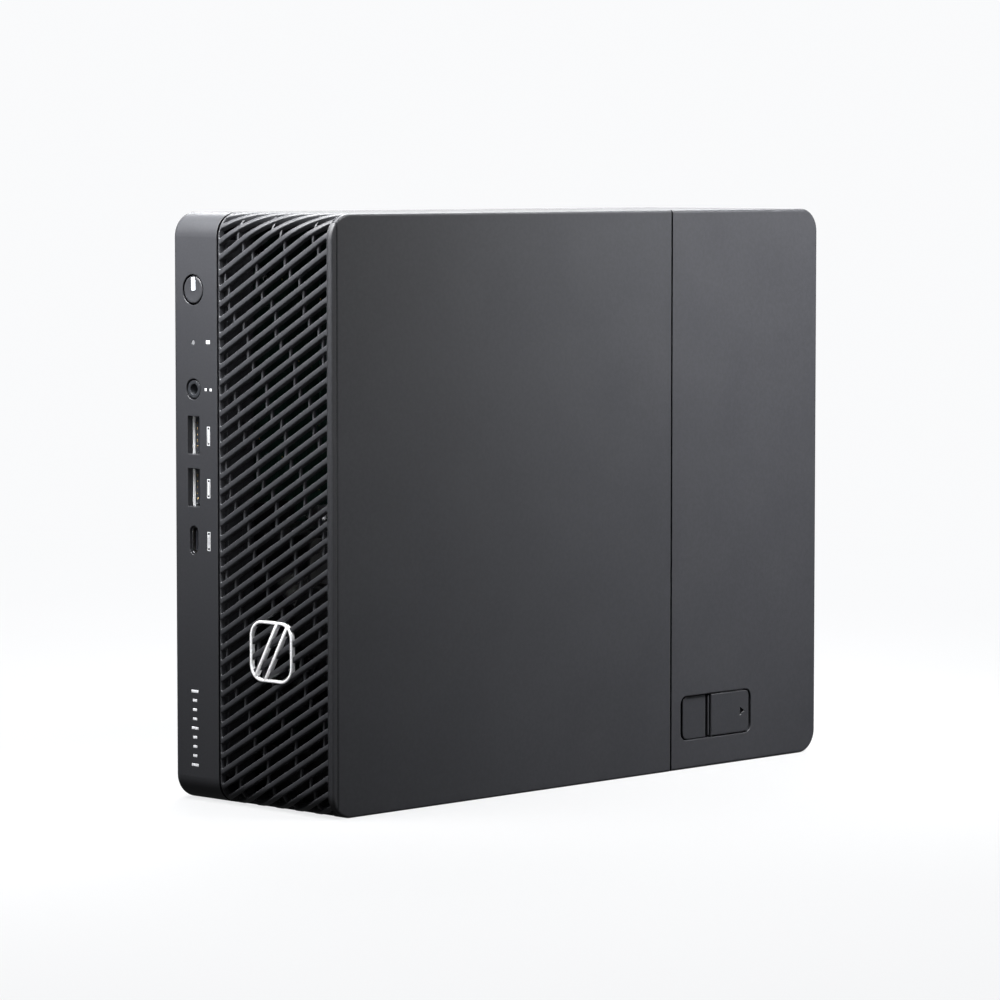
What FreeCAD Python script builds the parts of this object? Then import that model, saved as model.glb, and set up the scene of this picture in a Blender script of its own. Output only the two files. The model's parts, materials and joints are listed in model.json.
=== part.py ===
import FreeCAD, Part
import Sketcher
import math
import os

# Compact desktop computer with a removable rear cable cover.
# Frame: +X is the side cover and its latch, -X the mounting side, -Y the front,
# +Z up.  The origin is the centre of the bottom face of the case.  Millimetres.
# Most Y places are given as a distance behind the front face of the case.

os.makedirs("parts", exist_ok=True)
Vector = FreeCAD.Vector
doc = FreeCAD.newDocument("compact_desktop")

# ---------------------------------------------------------------- dimensions
# Alias, value, note.
TABLE = [
    ("case_width", 76.0, "outside width over the painted shells"),
    ("case_depth", 238.0, "front face to back of the cable cover"),
    ("case_height", 193.5, "outside height"),
    ("corner_radius", 8.0, "corners of the side profile"),
    ("edge_radius", 2.5, "long edges of the mounting side"),
    ("rim_radius", 1.0, "outer rim on the cover side"),
    ("sheet_wall", 1.2, "steel sheet"),
    ("cover_wall", 1.4, "side cover sheet"),
    ("panel_wall", 2.5, "front port panel wall"),
    ("grille_wall", 2.0, "front grille wall"),
    ("shell_wall", 2.0, "cable cover wall"),
    ("bezel_depth", 14.0, "front bezel, front to back"),
    ("panel_depth", 8.5, "depth of the port panel and the grille"),
    ("panel_width", 21.8, "port panel width"),
    ("panel_gap", 0.7, "joint between port panel and grille"),
    ("lip_width", 1.8, "bezel lip on the cover side"),
    ("lip_depth", 2.1, "front of the side cover behind the front face"),
    ("seam_at", 160.6, "rear edge of the side cover from the front face"),
    ("seam_gap", 0.8, "joint between side cover and cable cover"),
    ("neck_inset", 2.4, "step of the rear neck inside the cable cover"),
    ("neck_end", 172.2, "end of the rear neck from the front face"),
    ("port_line", 10.25, "ports, from the mounting side"),
    ("mark_line", 17.5, "printed marks, from the mounting side"),
    ("power_height", 168.3, "power button centre"),
    ("power_radius", 4.5, "power button radius"),
    ("light_height", 151.0, "drive light centre"),
    ("jack_height", 135.75, "headset jack centre"),
    ("jack_bore", 1.8, "headset jack bore radius"),
    ("usb_upper", 120.6, "upper USB-A socket centre"),
    ("usb_lower", 103.4, "lower USB-A socket centre"),
    ("usb_small", 86.1, "USB-C socket centre"),
    ("rod_pitch", 5.1, "grille rods, vertical pitch"),
    ("rod_slope", 0.56, "grille rods, rise over run"),
    ("rod_width", 1.75, "grille rod width"),
    ("bridge_pitch", 13.2, "grille bridges, pitch in X"),
    ("bridge_step", 2.2, "grille bridges, step per row"),
    ("bridge_width", 0.8, "grille bridge width"),
    ("bridge_set", 0.9, "grille bridges, depth behind the rod faces"),
    ("emblem_size", 20.0, "emblem outline"),
    ("emblem_height", 52.0, "emblem centre"),
    ("emblem_from_left", 47.24, "emblem centre from the mounting side"),
    ("board_face", 7.3, "component face of the main board from the mounting side"),
    ("board_wall", 1.6, "circuit board thickness"),
    ("screw_radius", 2.0, "cover thumbscrew shank"),
    ("shoulder_radius", 3.0, "cover thumbscrew shoulder"),
    ("mount_pitch", 100.0, "monitor mount hole pitch"),
    ("mount_bore", 2.1, "monitor mount insert bore radius"),
    ("mount_from_front", 87.0, "monitor mount centre from the front face"),
    ("foot_radius", 6.0, "rubber foot radius"),
    ("foot_height", 1.2, "rubber foot height"),
    ("latch_low", 10.0, "latch pocket bottom"),
    ("latch_high", 25.6, "latch pocket top"),
    ("latch_front", 166.0, "latch pocket front from the front face"),
    ("latch_back", 203.0, "latch pocket back from the front face"),
    ("latch_gap", 2.2, "joint ahead of the latch"),
    ("outlet_width", 48.0, "cable outlet width"),
    ("outlet_length", 40.0, "cable outlet length"),
    ("fan_radius", 28.5, "main fan bore radius"),
    ("fin_pitch", 3.0, "heat sink fin pitch"),
    ("fin_count", 23, "heat sink fins"),
    ("blade_count", 7, "main fan blades"),
]
sheet = doc.addObject("Spreadsheet::Sheet", "Dims")
for row, (alias, value, note) in enumerate(TABLE, 1):
    sheet.set(f"A{row}", alias)
    sheet.set(f"B{row}", str(value))
    sheet.set(f"C{row}", note)
    sheet.setAlias(f"B{row}", alias)
doc.recompute()


class Quantity:
    """A number that carries its spreadsheet expression and its value."""

    def __init__(self, text, value):
        self.text = text
        self.value = value

    def __add__(self, other):
        other = quantity(other)
        return Quantity(f"({self.text} + {other.text})", self.value + other.value)

    def __radd__(self, other):
        return quantity(other) + self

    def __sub__(self, other):
        other = quantity(other)
        return Quantity(f"({self.text} - {other.text})", self.value - other.value)

    def __rsub__(self, other):
        return quantity(other) - self

    def __mul__(self, other):
        other = quantity(other)
        return Quantity(f"({self.text} * {other.text})", self.value * other.value)

    def __rmul__(self, other):
        return quantity(other) * self

    def __truediv__(self, other):
        other = quantity(other)
        return Quantity(f"({self.text} / {other.text})", self.value / other.value)

    def __neg__(self):
        return Quantity(f"(0 - {self.text})", -self.value)


def quantity(number):
    if isinstance(number, Quantity):
        return number
    return Quantity(f"({float(number):.6g})", float(number))


def dim(alias):
    return Quantity(f"Dims.{alias}", float(sheet.get(alias)))


def behind(distance):
    """Y of a place at a distance behind the front face."""
    return quantity(distance) - DEPTH / 2


DEPTH, HEIGHT = dim("case_depth"), dim("case_height")
LEFT, RIGHT = -(dim("case_width") / 2), dim("case_width") / 2  # mounting side, cover side
FRONT, REAR = behind(0), behind(DEPTH)
CORNER = dim("corner_radius")
PORT_X = LEFT + dim("port_line")
MARK_X = LEFT + dim("mark_line")
BOARD = LEFT + dim("board_face")
SEAM = dim("seam_at")
POWER_Z, LIGHT_Z, JACK_Z = dim("power_height"), dim("light_height"), dim("jack_height")
USB_Z = {"upper": dim("usb_upper"), "lower": dim("usb_lower")}
USB_C_Z = dim("usb_small")

# Centre heights of the rear ports.
INLET_Z = 18.1
STACK_Z = (35.25, 53.25)
NETWORK_Z = 72.0
DISPLAY_Z = (90.9, 116.1)
GRAPHICS_Z = (124.0, 144.0, 164.0)

NODES = {}


def keep(obj):
    """Marks an object as a piece that gets its own file."""
    NODES[obj.Label] = obj
    return obj


# ------------------------------------------------------------ part helpers
def bind(obj, prop, size):
    size = quantity(size)
    setattr(obj, prop, size.value)
    obj.setExpression(prop, size.text)


def place(obj, x, y, z, rotation=None):
    obj.Placement = FreeCAD.Placement(
        Vector(quantity(x).value, quantity(y).value, quantity(z).value),
        rotation or FreeCAD.Rotation(),
    )
    for axis, value in (("x", x), ("y", y), ("z", z)):
        obj.setExpression(f".Placement.Base.{axis}", quantity(value).text)


def primitive(kind, name, sizes, x, near, z, rotation=None):
    obj = doc.addObject("Part::" + kind, name)
    for prop, size in sizes.items():
        bind(obj, prop, size)
    place(obj, x, behind(near), z, rotation)
    return obj


def box(name, x0, x1, near, far, z0, z1):
    """Box; near and far are measured behind the front face."""
    sizes = {
        "Length": quantity(x1) - x0,
        "Width": quantity(far) - near,
        "Height": quantity(z1) - z0,
    }
    return primitive("Box", name, sizes, x0, near, z0)


def box_about(name, x, half_x, near, far, z, half_z):
    """Box centred on x and z."""
    return box(name, x - half_x, x + half_x, near, far, z - half_z, z + half_z)


TURN = {
    "x": FreeCAD.Rotation(Vector(0, 1, 0), 90),
    "y": FreeCAD.Rotation(Vector(1, 0, 0), -90),
}


def cyl(name, axis, x, near, z, radius, length):
    """Cylinder that starts at the point given and runs along +axis."""
    sizes = {"Radius": radius, "Height": length}
    return primitive("Cylinder", name, sizes, x, near, z, TURN[axis])


def cone(name, axis, x, near, z, start_radius, end_radius, length):
    sizes = {"Radius1": start_radius, "Radius2": end_radius, "Height": length}
    return primitive("Cone", name, sizes, x, near, z, TURN[axis])


def fuse(name, *parts):
    obj = doc.addObject("Part::MultiFuse", name)
    obj.Shapes = list(parts)
    obj.Refine = True
    return obj


def cut(name, base, *tools):
    tool = tools[0] if len(tools) == 1 else fuse(name + "_tools", *tools)
    obj = doc.addObject("Part::Cut", name)
    obj.Base = base
    obj.Tool = tool
    obj.Refine = True
    return obj


def group(name, *parts):
    obj = doc.addObject("Part::Compound", name)
    obj.Links = list(parts)
    return obj


# ---------------------------------------------------------- edge selectors
def straight(edge):
    return isinstance(edge.Curve, Part.Line)


def line_at(axis, **where):
    """Picks straight edges along an axis at the coordinates given."""
    unit = {"x": Vector(1, 0, 0), "y": Vector(0, 1, 0), "z": Vector(0, 0, 1)}[axis]
    want = {name: quantity(place).value for name, place in where.items()}

    def test(edge):
        if not straight(edge) or abs(abs(edge.Curve.Direction.dot(unit)) - 1) > 1e-6:
            return False
        middle = edge.CenterOfMass
        return all(abs(getattr(middle, name) - value) < 0.02 for name, value in want.items())

    return test


def profile_corners(y, inset=0):
    """Picks the lower and upper X edges of the side profile at y."""
    return line_at("x", y=y, z=inset), line_at("x", y=y, z=HEIGHT - inset)


def mounting_edges(inset):
    """Picks the lower and upper long edges of the mounting side."""
    return tuple(line_at("y", x=LEFT + inset, z=z) for z in (inset, HEIGHT - inset))


def four_corners(x, half_x, z, half_z):
    """Picks the four Y edges of a rectangle centred on x and z."""
    return [
        line_at("y", x=x + side * half_x, z=z + end * half_z)
        for side in (-1, 1) for end in (-1, 1)
    ]


def on_plane(axis, level):
    """Picks edges that lie wholly in the plane axis = level."""
    level = quantity(level).value

    def test(edge):
        points = [vertex.Point for vertex in edge.Vertexes] + [edge.CenterOfMass]
        return all(abs(getattr(point, axis) - level) < 0.02 for point in points)

    return test


def beyond(axis, low=None, high=None):
    def test(edge):
        middle = getattr(edge.CenterOfMass, axis)
        return (low is None or middle > quantity(low).value) and (
            high is None or middle < quantity(high).value
        )

    return test


def both(*tests):
    return lambda edge: all(test(edge) for test in tests)


def rounded(base, radius, *tests):
    """Part fillet on the edges that any of the tests picks."""
    doc.recompute()
    obj = doc.addObject("Part::Fillet", base.Name + "_round")
    obj.Base = base
    size = quantity(radius).value
    obj.Edges = [
        (i, size, size)
        for i, edge in enumerate(base.Shape.Edges, 1)
        if any(test(edge) for test in tests)
    ]
    assert obj.Edges, obj.Name
    return obj


def rounded_box(name, x, half_x, near, far, z, half_z, radius):
    """Box centred on x and z, with its four Y edges rounded."""
    block = box_about(name, x, half_x, near, far, z, half_z)
    return rounded(block, radius, *four_corners(x, half_x, z, half_z))


# ------------------------------------------------------- part design helper
class SketchedBody:
    """One PartDesign body, built from sketches on its own origin planes."""

    def __init__(self, name, kept=True):
        self.body = doc.addObject("PartDesign::Body", name)
        self.count = 0
        if kept:
            keep(self.body)

    def origin(self, role):
        for feature in self.body.Origin.OriginFeatures:
            if feature.Role == role:
                return feature
        raise RuntimeError(role)

    def add(self, kind, what):
        self.count += 1
        return self.body.newObject(kind, f"{self.body.Name}_{what}{self.count}")

    def sketch(self, plane, level, shapes):
        sketch = self.add("Sketcher::SketchObject", "sketch")
        sketch.AttachmentSupport = [(self.origin(plane + "_Plane"), "")]
        sketch.MapMode = "FlatFace"
        # The normal of the XZ plane points along -Y.
        offset = -quantity(level) if plane == "XZ" else quantity(level)
        sketch.AttachmentOffset = FreeCAD.Placement(
            Vector(0, 0, offset.value), FreeCAD.Rotation()
        )
        sketch.setExpression(".AttachmentOffset.Base.z", offset.text)
        for shape in shapes:
            shape(sketch)
        return sketch

    def finish(self, feature):
        doc.recompute()
        if "Invalid" in feature.State or "Error" in feature.State or feature.Shape.isNull():
            raise RuntimeError(f"{feature.Name} failed: {feature.State}")
        return feature

    def extrude(self, kind, sketch, length):
        feature = self.add("PartDesign::" + kind, kind.lower())
        feature.Profile = sketch
        bind(feature, "Length", length)
        return self.finish(feature)

    def pad(self, plane, low, high, *shapes):
        """Adds material between two levels across the plane."""
        sketch = self.sketch(plane, high if plane == "XZ" else low, shapes)
        return self.extrude("Pad", sketch, quantity(high) - low)

    def pocket(self, plane, low, high, *shapes):
        """Removes material between two levels across the plane."""
        before = self.body.Shape.Volume
        sketch = self.sketch(plane, low if plane == "XZ" else high, shapes)
        feature = self.extrude("Pocket", sketch, quantity(high) - low)
        assert self.body.Shape.Volume < before - 1e-6, feature.Name + " cuts nothing"
        return feature

    def revolve(self, *points):
        """Turns an XY outline about the Y axis."""
        sketch = self.sketch("XY", 0, [poly(*points)])
        feature = self.add("PartDesign::Revolution", "turned")
        feature.Profile = sketch
        feature.ReferenceAxis = (sketch, ["V_Axis"])
        feature.Angle = 360.0
        return self.finish(feature)

    def fillet(self, radius, *tests):
        tip = self.body.Tip
        names = [
            f"Edge{i}"
            for i, edge in enumerate(tip.Shape.Edges, 1)
            if any(test(edge) for test in tests)
        ]
        assert names, (self.body.Label, "no edge")
        feature = self.add("PartDesign::Fillet", "fillet")
        feature.Base = (tip, names)
        bind(feature, "Radius", radius)
        return self.finish(feature)

    def repeat(self, pattern, count):
        pattern.Occurrences = int(quantity(count).value)
        if isinstance(count, Quantity):
            pattern.setExpression("Occurrences", count.text)
        self.body.Tip = pattern
        return self.finish(pattern)

    def row(self, feature, role, length, count):
        pattern = self.add("PartDesign::LinearPattern", "row")
        pattern.Originals = [feature]
        pattern.Direction = (self.origin(role), [""])
        bind(pattern, "Length", length)
        return self.repeat(pattern, count)

    def ring(self, feature, role, count):
        pattern = self.add("PartDesign::PolarPattern", "ring")
        pattern.Originals = [feature]
        pattern.Axis = (self.origin(role), [""])
        pattern.Angle = 360.0
        return self.repeat(pattern, count)


def pin_point(sketch, geometry, point, across, up):
    """Dimensions one point of a geometry from the sketch origin."""
    for kind, aligned, length in (
        ("DistanceX", "Vertical", across), ("DistanceY", "Horizontal", up),
    ):
        if abs(length.value) < 1e-9:
            sketch.addConstraint(Sketcher.Constraint(aligned, -1, 1, geometry, point))
            continue
        index = sketch.addConstraint(
            Sketcher.Constraint(kind, -1, 1, geometry, point, length.value)
        )
        sketch.setExpression(f"Constraints[{index}]", length.text)


def poly(*points):
    """Closed outline whose every corner is dimensioned from the sketch origin."""

    def draw(sketch):
        corners = [(quantity(across), quantity(up)) for across, up in points]
        first = sketch.GeometryCount
        count = len(corners)
        for i in range(count):
            ends = [
                Vector(across.value, up.value, 0)
                for across, up in (corners[i], corners[(i + 1) % count])
            ]
            sketch.addGeometry(Part.LineSegment(*ends), False)
        for i in range(count):
            sketch.addConstraint(
                Sketcher.Constraint("Coincident", first + i, 2, first + (i + 1) % count, 1)
            )
        for i, (across, up) in enumerate(corners):
            pin_point(sketch, first + i, 1, across, up)

    return draw


def rect(across0, across1, up0, up1):
    return poly((across0, up0), (across1, up0), (across1, up1), (across0, up1))


def rect_about(across, half_across, up, half_up):
    return rect(across - half_across, across + half_across, up - half_up, up + half_up)


def circle(across, up, radius):
    def draw(sketch):
        centre = quantity(across), quantity(up)
        size = quantity(radius)
        geometry = sketch.addGeometry(
            Part.Circle(Vector(centre[0].value, centre[1].value, 0), Vector(0, 0, 1), size.value),
            False,
        )
        pin_point(sketch, geometry, 3, *centre)
        index = sketch.addConstraint(Sketcher.Constraint("Radius", geometry, size.value))
        sketch.setExpression(f"Constraints[{index}]", size.text)

    return draw


# ================================================================ the casing
bezel_depth = dim("bezel_depth")
panel_depth = dim("panel_depth")
lip_depth = dim("lip_depth")
cover_wall = dim("cover_wall")
lip_left = RIGHT - dim("lip_width")
panel_right = LEFT + dim("panel_width")

# Bezel frame: ring behind the front face, lip on the cover side, mullion.
bezel_wall = 2.5
mullion_x = panel_right + dim("panel_gap") / 2
tab_width = 8
bezel = SketchedBody("bezel_frame")
bezel.pad("YZ", LEFT, RIGHT, rect(FRONT, behind(bezel_depth), 0, HEIGHT))
bezel.fillet(CORNER, *profile_corners(FRONT))
bezel.pocket(
    "YZ", LEFT - 1, lip_left, rect(FRONT - 1, behind(panel_depth + 0.2), -1, HEIGHT + 1)
)
bezel.pocket(
    "XZ", behind(panel_depth), behind(bezel_depth) + 1,
    rect(LEFT + 2.4, lip_left, bezel_wall, HEIGHT - bezel_wall),
)
bezel.pad(
    "XZ", behind(panel_depth + 0.2), behind(bezel_depth),
    rect(mullion_x - 1.8, mullion_x + 1.8, 2.4, HEIGHT - 2.4),
)
bezel.pad(
    "XZ", FRONT + 2.4, behind(panel_depth + 0.3),
    rect(panel_right + 0.1, panel_right + 2.4, 9, HEIGHT - 9),
)
bezel.pad(
    "XZ", FRONT + 4, behind(bezel_depth), rect(lip_left - 2, lip_left + 0.2, 9, HEIGHT - 9)
)
# Snap tabs that reach under the chassis walls.
for low, high in (
    (1.25, bezel_wall), (HEIGHT - bezel_wall, HEIGHT - 1.25),
):
    bezel.pad(
        "XZ", behind(bezel_depth - 1), behind(bezel_depth + 5),
        *[rect(LEFT + x, LEFT + x + tab_width, low, high) for x in (8, 34, 56)],
    )
# Seat of the side cover behind the lip.
bezel.pocket(
    "YZ", RIGHT - cover_wall - 0.2, RIGHT + 1,
    rect(behind(lip_depth - 0.2), behind(bezel_depth) + 1, -1, HEIGHT + 1),
)
bezel.fillet(
    0.7, both(on_plane("x", RIGHT), beyond("y", high=behind(lip_depth - 0.2) - 0.05))
)

# Port panel: smooth shell on the mounting side of the front.
panel_wall = dim("panel_wall")
power_radius = dim("power_radius")
inner_face = FRONT + panel_wall
usb_half_x, usb_half_z = 2.9, 6.3
small_half_x, small_half_z = 2.1, 4.7
panel = SketchedBody("port_panel_blank", kept=False)
panel.pad("YZ", LEFT, panel_right, rect(FRONT, behind(panel_depth), 0, HEIGHT))
panel.fillet(CORNER, *profile_corners(FRONT))
panel.fillet(
    dim("edge_radius"),
    both(on_plane("x", LEFT), beyond("y", high=behind(panel_depth) - 0.1)),
)
panel.pocket(
    "XZ", inner_face, behind(panel_depth) + 1,
    rect(LEFT + 2.3, panel_right - 1.5, panel_wall, HEIGHT - panel_wall),
)
panel.fillet(CORNER - panel_wall, *profile_corners(inner_face, panel_wall))
# Guide collar of the power button, behind the wall.
panel.pad("XZ", inner_face - 0.1, inner_face + 3.0, circle(PORT_X, POWER_Z, power_radius + 2.4))
panel.pocket("XZ", inner_face, inner_face + 3.5, circle(PORT_X, POWER_Z, power_radius + 1.3))
# Openings through the wall.
panel.pocket("XZ", FRONT - 1, inner_face + 0.5, circle(PORT_X, POWER_Z, power_radius + 0.55))
panel.pocket(
    "XZ", FRONT - 1, inner_face + 0.5,
    circle(PORT_X, LIGHT_Z, 0.8),
    circle(PORT_X, JACK_Z, 3.5),
    *[rect_about(PORT_X, usb_half_x, z, usb_half_z) for z in USB_Z.values()],
    rect_about(PORT_X, small_half_x, USB_C_Z, small_half_z),
)
# Seats of the two larger socket shells, in the back of the wall.
panel.pocket(
    "XZ", FRONT + 2.0, inner_face + 0.5,
    *[rect_about(PORT_X, usb_half_x + 0.15, z, usb_half_z + 0.4) for z in USB_Z.values()],
)
panel.fillet(1.9, *four_corners(PORT_X, small_half_x, USB_C_Z, small_half_z))
panel.fillet(
    0.3,
    *[test for z in USB_Z.values() for test in four_corners(PORT_X, usb_half_x, z, usb_half_z)],
)

# Printed marks: plain signs beside the ports and a tick scale below, as inlays.
mark_depth = 0.2
tick_top, tick_pitch = 36.2, 3.05
ink = []


def mark(x, z, width, height):
    name = f"mark_{len(ink)}"
    ink.append(box_about(name, x, width / 2, 0, mark_depth, z, height / 2))


mark(MARK_X, LIGHT_Z + 0.3, 1.8, 1.2)
for side in (-1, 1):
    mark(MARK_X + side * 1.2, JACK_Z, 1.0, 0.9)
for socket_z in (*USB_Z.values(), USB_C_Z):
    for side in (-1, 1):
        mark(MARK_X + side * 0.6, socket_z, 0.25, 6.2)
        mark(MARK_X, socket_z + side * 2.975, 1.45, 0.25)
    mark(MARK_X, socket_z, 0.5, 4.4)
for i in range(9):
    mark(PORT_X, tick_top - tick_pitch * i, 3.4 if i in (0, 4, 8) else 2.0, 0.9)
marks = keep(fuse("panel_marks", *ink))
keep(cut("port_panel", panel.body, marks))

# Front grille: slanted rods and short bridges on a shell that rolls over the
# top and bottom corners.
grille_left, grille_right = panel_right + dim("panel_gap"), lip_left - 0.15
grille_wall = dim("grille_wall")
grille = SketchedBody("grille_body", kept=False)
grille.pad("YZ", grille_left, grille_right, rect(FRONT, behind(panel_depth), 0, HEIGHT))
grille.fillet(CORNER, *profile_corners(FRONT))
grille_hollow = rounded(
    box(
        "grille_hollow", grille_left - 1, grille_right + 1,
        grille_wall, panel_depth + 20, grille_wall, HEIGHT - grille_wall,
    ),
    CORNER - grille_wall, *profile_corners(FRONT + grille_wall, grille_wall),
)
grille_blank = cut("grille_blank", grille.body, grille_hollow)

# Emblem: a plain rounded square outline with two slanted bars.
emblem_x, emblem_z = LEFT + dim("emblem_from_left"), dim("emblem_height")
emblem_half = dim("emblem_size") / 2
emblem_depth, emblem_corner = 1.2, 5.5
bar_width, bar_length, bar_offset, bar_angle = 1.3, 26.0, 2.6, 30


def emblem_plate(name, near, far, inset):
    half = emblem_half - inset
    return rounded_box(
        name, emblem_x, half, near, far, emblem_z, half, emblem_corner - inset
    )


emblem_ring = cut(
    "emblem_ring",
    emblem_plate("emblem_outer", 0, emblem_depth, 0),
    emblem_plate("emblem_inner", -0.5, emblem_depth + 0.5, 1),
)
bars = []
for i, offset in enumerate((-bar_offset, bar_offset)):
    bar = doc.addObject("Part::Box", f"emblem_bar_{i}")
    bar.Length, bar.Width, bar.Height = bar_width, emblem_depth, bar_length
    turn = FreeCAD.Rotation(Vector(0, 1, 0), bar_angle)
    middle = Vector(emblem_x.value + offset, FRONT.value, emblem_z.value)
    base = middle - turn.multVec(Vector(bar_width / 2, 0, bar_length / 2))
    bar.Placement = FreeCAD.Placement(base, turn)
    bars.append(bar)
emblem_field = emblem_plate("emblem_field", 0, emblem_depth, 0.5)
bars_in = doc.addObject("Part::Common", "emblem_bars_in")
bars_in.Base, bars_in.Tool = fuse("emblem_bars", *bars), emblem_field
emblem = keep(fuse("emblem", emblem_ring, bars_in))

# Slots of the grille, laid out on the unrolled shell and rolled back over the
# corners.  Outline points are (x, s): s is the length along the outer face,
# equal to Z on the flat part.  Depths are measured in from the outer face.
doc.recompute()
slope = dim("rod_slope").value
rod_pitch = dim("rod_pitch").value
slot_half = (rod_pitch - dim("rod_width").value / math.cos(math.atan(slope))) / 2
bridge_pitch = dim("bridge_pitch").value
bridge_half = dim("bridge_width").value / 2
rod_ref_x, rod_ref_s = LEFT.value + 23.3, 117.9  # a point on the middle line between rows
bridge_start = 1.8  # X of a bridge in row 2
stagger = (0.0, -2.1, -1.9, 0.35)  # shift of the bridges, repeated every four rows
roll = CORNER.value
low_turn, high_turn = roll, HEIGHT.value - roll  # s where the flat part ends
field_margin = 0.6
x_low, x_high = grille_left.value + field_margin, grille_right.value - field_margin
s_low = low_turn - roll * math.pi / 2 + field_margin
s_high = high_turn + roll * math.pi / 2 - field_margin
outside = -1.0  # depth at which the cutters start


def clip(points, across, along, limit):
    """Keeps the part of a convex outline where across*x + along*s <= limit."""
    out = []
    for i, here in enumerate(points):
        ahead = points[(i + 1) % len(points)]
        over_here = across * here[0] + along * here[1] - limit
        over_ahead = across * ahead[0] + along * ahead[1] - limit
        if over_here <= 0:
            out.append(here)
        if over_here * over_ahead < 0:
            part = over_here / (over_here - over_ahead)
            out.append(tuple(a + part * (b - a) for a, b in zip(here, ahead)))
    return out


def area(points):
    return 0.5 * sum(
        here[0] * ahead[1] - ahead[0] * here[1]
        for here, ahead in zip(points, points[1:] + points[:1])
    )


def rolled(x, s, depth):
    """Point of the shell at depth below its outer face."""
    if s > high_turn:
        angle, centre_z, sign = (s - high_turn) / roll, high_turn, 1
    elif s < low_turn:
        angle, centre_z, sign = (low_turn - s) / roll, low_turn, -1
    else:
        return Vector(x, FRONT.value + depth, s)
    radius = roll - depth
    return Vector(
        x, FRONT.value + roll - radius * math.cos(angle), centre_z + sign * radius * math.sin(angle)
    )


def row_middle(row, x):
    return rod_ref_s + slope * (x - rod_ref_x) - (row + 0.5) * rod_pitch


def slanted(row, x0, x1, half):
    """Outline between two X places in a row, half its height either side."""
    s0, s1 = row_middle(row, x0), row_middle(row, x1)
    return [(x0, s0 - half), (x1, s1 - half), (x1, s1 + half), (x0, s0 + half)]


def bridge_places():
    """Row and X of every bridge, from before the field to past its far side."""
    first = int((rod_ref_s - s_high) / rod_pitch) - 12
    last = int((rod_ref_s - s_low) / rod_pitch) + 14
    for row in range(first, last):
        x = bridge_start + dim("bridge_step").value * (row - 2) + stagger[(row - 2) % 4]
        x -= math.ceil((x - x_low + bridge_pitch) / bridge_pitch) * bridge_pitch
        while x < x_high + bridge_pitch:
            yield row, x
            x += bridge_pitch


def slots():
    """Outlines between neighbouring bridges, clipped to the field."""
    found = []
    for row, x in bridge_places():
        shape = slanted(row, x + bridge_half, x + bridge_pitch - bridge_half, slot_half)
        for limit in ((-1, 0, -x_low), (1, 0, x_high), (0, -1, -s_low), (0, 1, s_high)):
            shape = clip(shape, *limit)
        if len(shape) > 2 and abs(area(shape)) > 2.0:
            found.append(shape)
    return found


def bridges():
    """Outlines of the short bridges between two slots of one row."""
    reach, half = bridge_half + 0.15, slot_half - 0.14
    return [
        slanted(row, x - reach, x + reach, half)
        for row, x in bridge_places()
        if x_low + 1.2 < x < x_high - 1.2
        and s_low + 3.0 < row_middle(row, x) < s_high - 3.0
    ]


def cutter(points, bottom):
    """Closed solid from outside the shell down to a depth, behind one outline."""
    low, high = min(s for x, s in points), max(s for x, s in points)
    if low >= low_turn and high <= high_turn:
        wire = Part.makePolygon(
            [Vector(x, FRONT.value + outside, s) for x, s in points + points[:1]]
        )
        return Part.Face(wire).extrude(Vector(0, bottom - outside, 0))
    # On the corners the outline is split into strips of 15 degrees.
    seams = [low_turn - roll * math.radians(a) for a in range(90, -1, -15)]
    seams += [high_turn + roll * math.radians(a) for a in range(0, 91, 15)]
    levels = [low] + [s for s in seams if low + 0.05 < s < high - 0.05] + [high]
    faces = []

    def add_triangle(*corners):
        faces.append(Part.Face(Part.makePolygon([*corners, corners[0]])))

    for strip_low, strip_high in zip(levels, levels[1:]):
        strip = []
        for point in clip(clip(points, 0, -1, -strip_low), 0, 1, strip_high):
            if not strip or math.dist(point, strip[-1]) > 1e-6:
                strip.append(point)
        if len(strip) > 1 and math.dist(strip[0], strip[-1]) <= 1e-6:
            strip.pop()
        if len(strip) < 3:
            continue
        for depth in (outside, bottom):
            ring = [rolled(x, s, depth) for x, s in strip]
            for i in range(1, len(ring) - 1):
                add_triangle(ring[0], ring[i], ring[i + 1])
        for here, ahead in zip(strip, strip[1:] + strip[:1]):
            # An edge shared by two strips gets no side wall.
            if any(
                abs(here[1] - s) < 1e-7 and abs(ahead[1] - s) < 1e-7
                for s in (strip_low, strip_high) if low < s < high
            ):
                continue
            start, far_corner = rolled(*here, outside), rolled(*ahead, bottom)
            add_triangle(start, rolled(*ahead, outside), far_corner)
            add_triangle(start, far_corner, rolled(*here, bottom))
    sewn = Part.makeCompound(faces)
    sewn.sewShape()
    shells = sewn.Shells or [Part.Shell(faces)]
    solid = Part.makeSolid(shells[0])
    if solid.Volume < 0:
        solid.reverse()
    return solid


def cut_outlines(name, base, tool_name, outlines, depth, least_volume):
    """Cuts outlines into the shell to a depth, leaving out invalid or tiny cutters."""
    solids = [cutter(outline, depth) for outline in outlines]
    tool = doc.addObject("Part::Feature", tool_name)
    tool.Shape = Part.makeCompound(
        [solid for solid in solids if solid.isValid() and solid.Volume > least_volume]
    )
    obj = doc.addObject("Part::Cut", name)
    obj.Base, obj.Tool = base, tool
    return obj


pierced = cut_outlines(
    "grille_pierced", grille_blank, "grille_slots", slots(), grille_wall.value + 1.0, 0.5
)
stepped = cut_outlines(
    "grille_stepped", pierced, "bridge_recesses", bridges(), dim("bridge_set").value, 0.2
)
keep(cut("front_grille", stepped, emblem))

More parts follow.
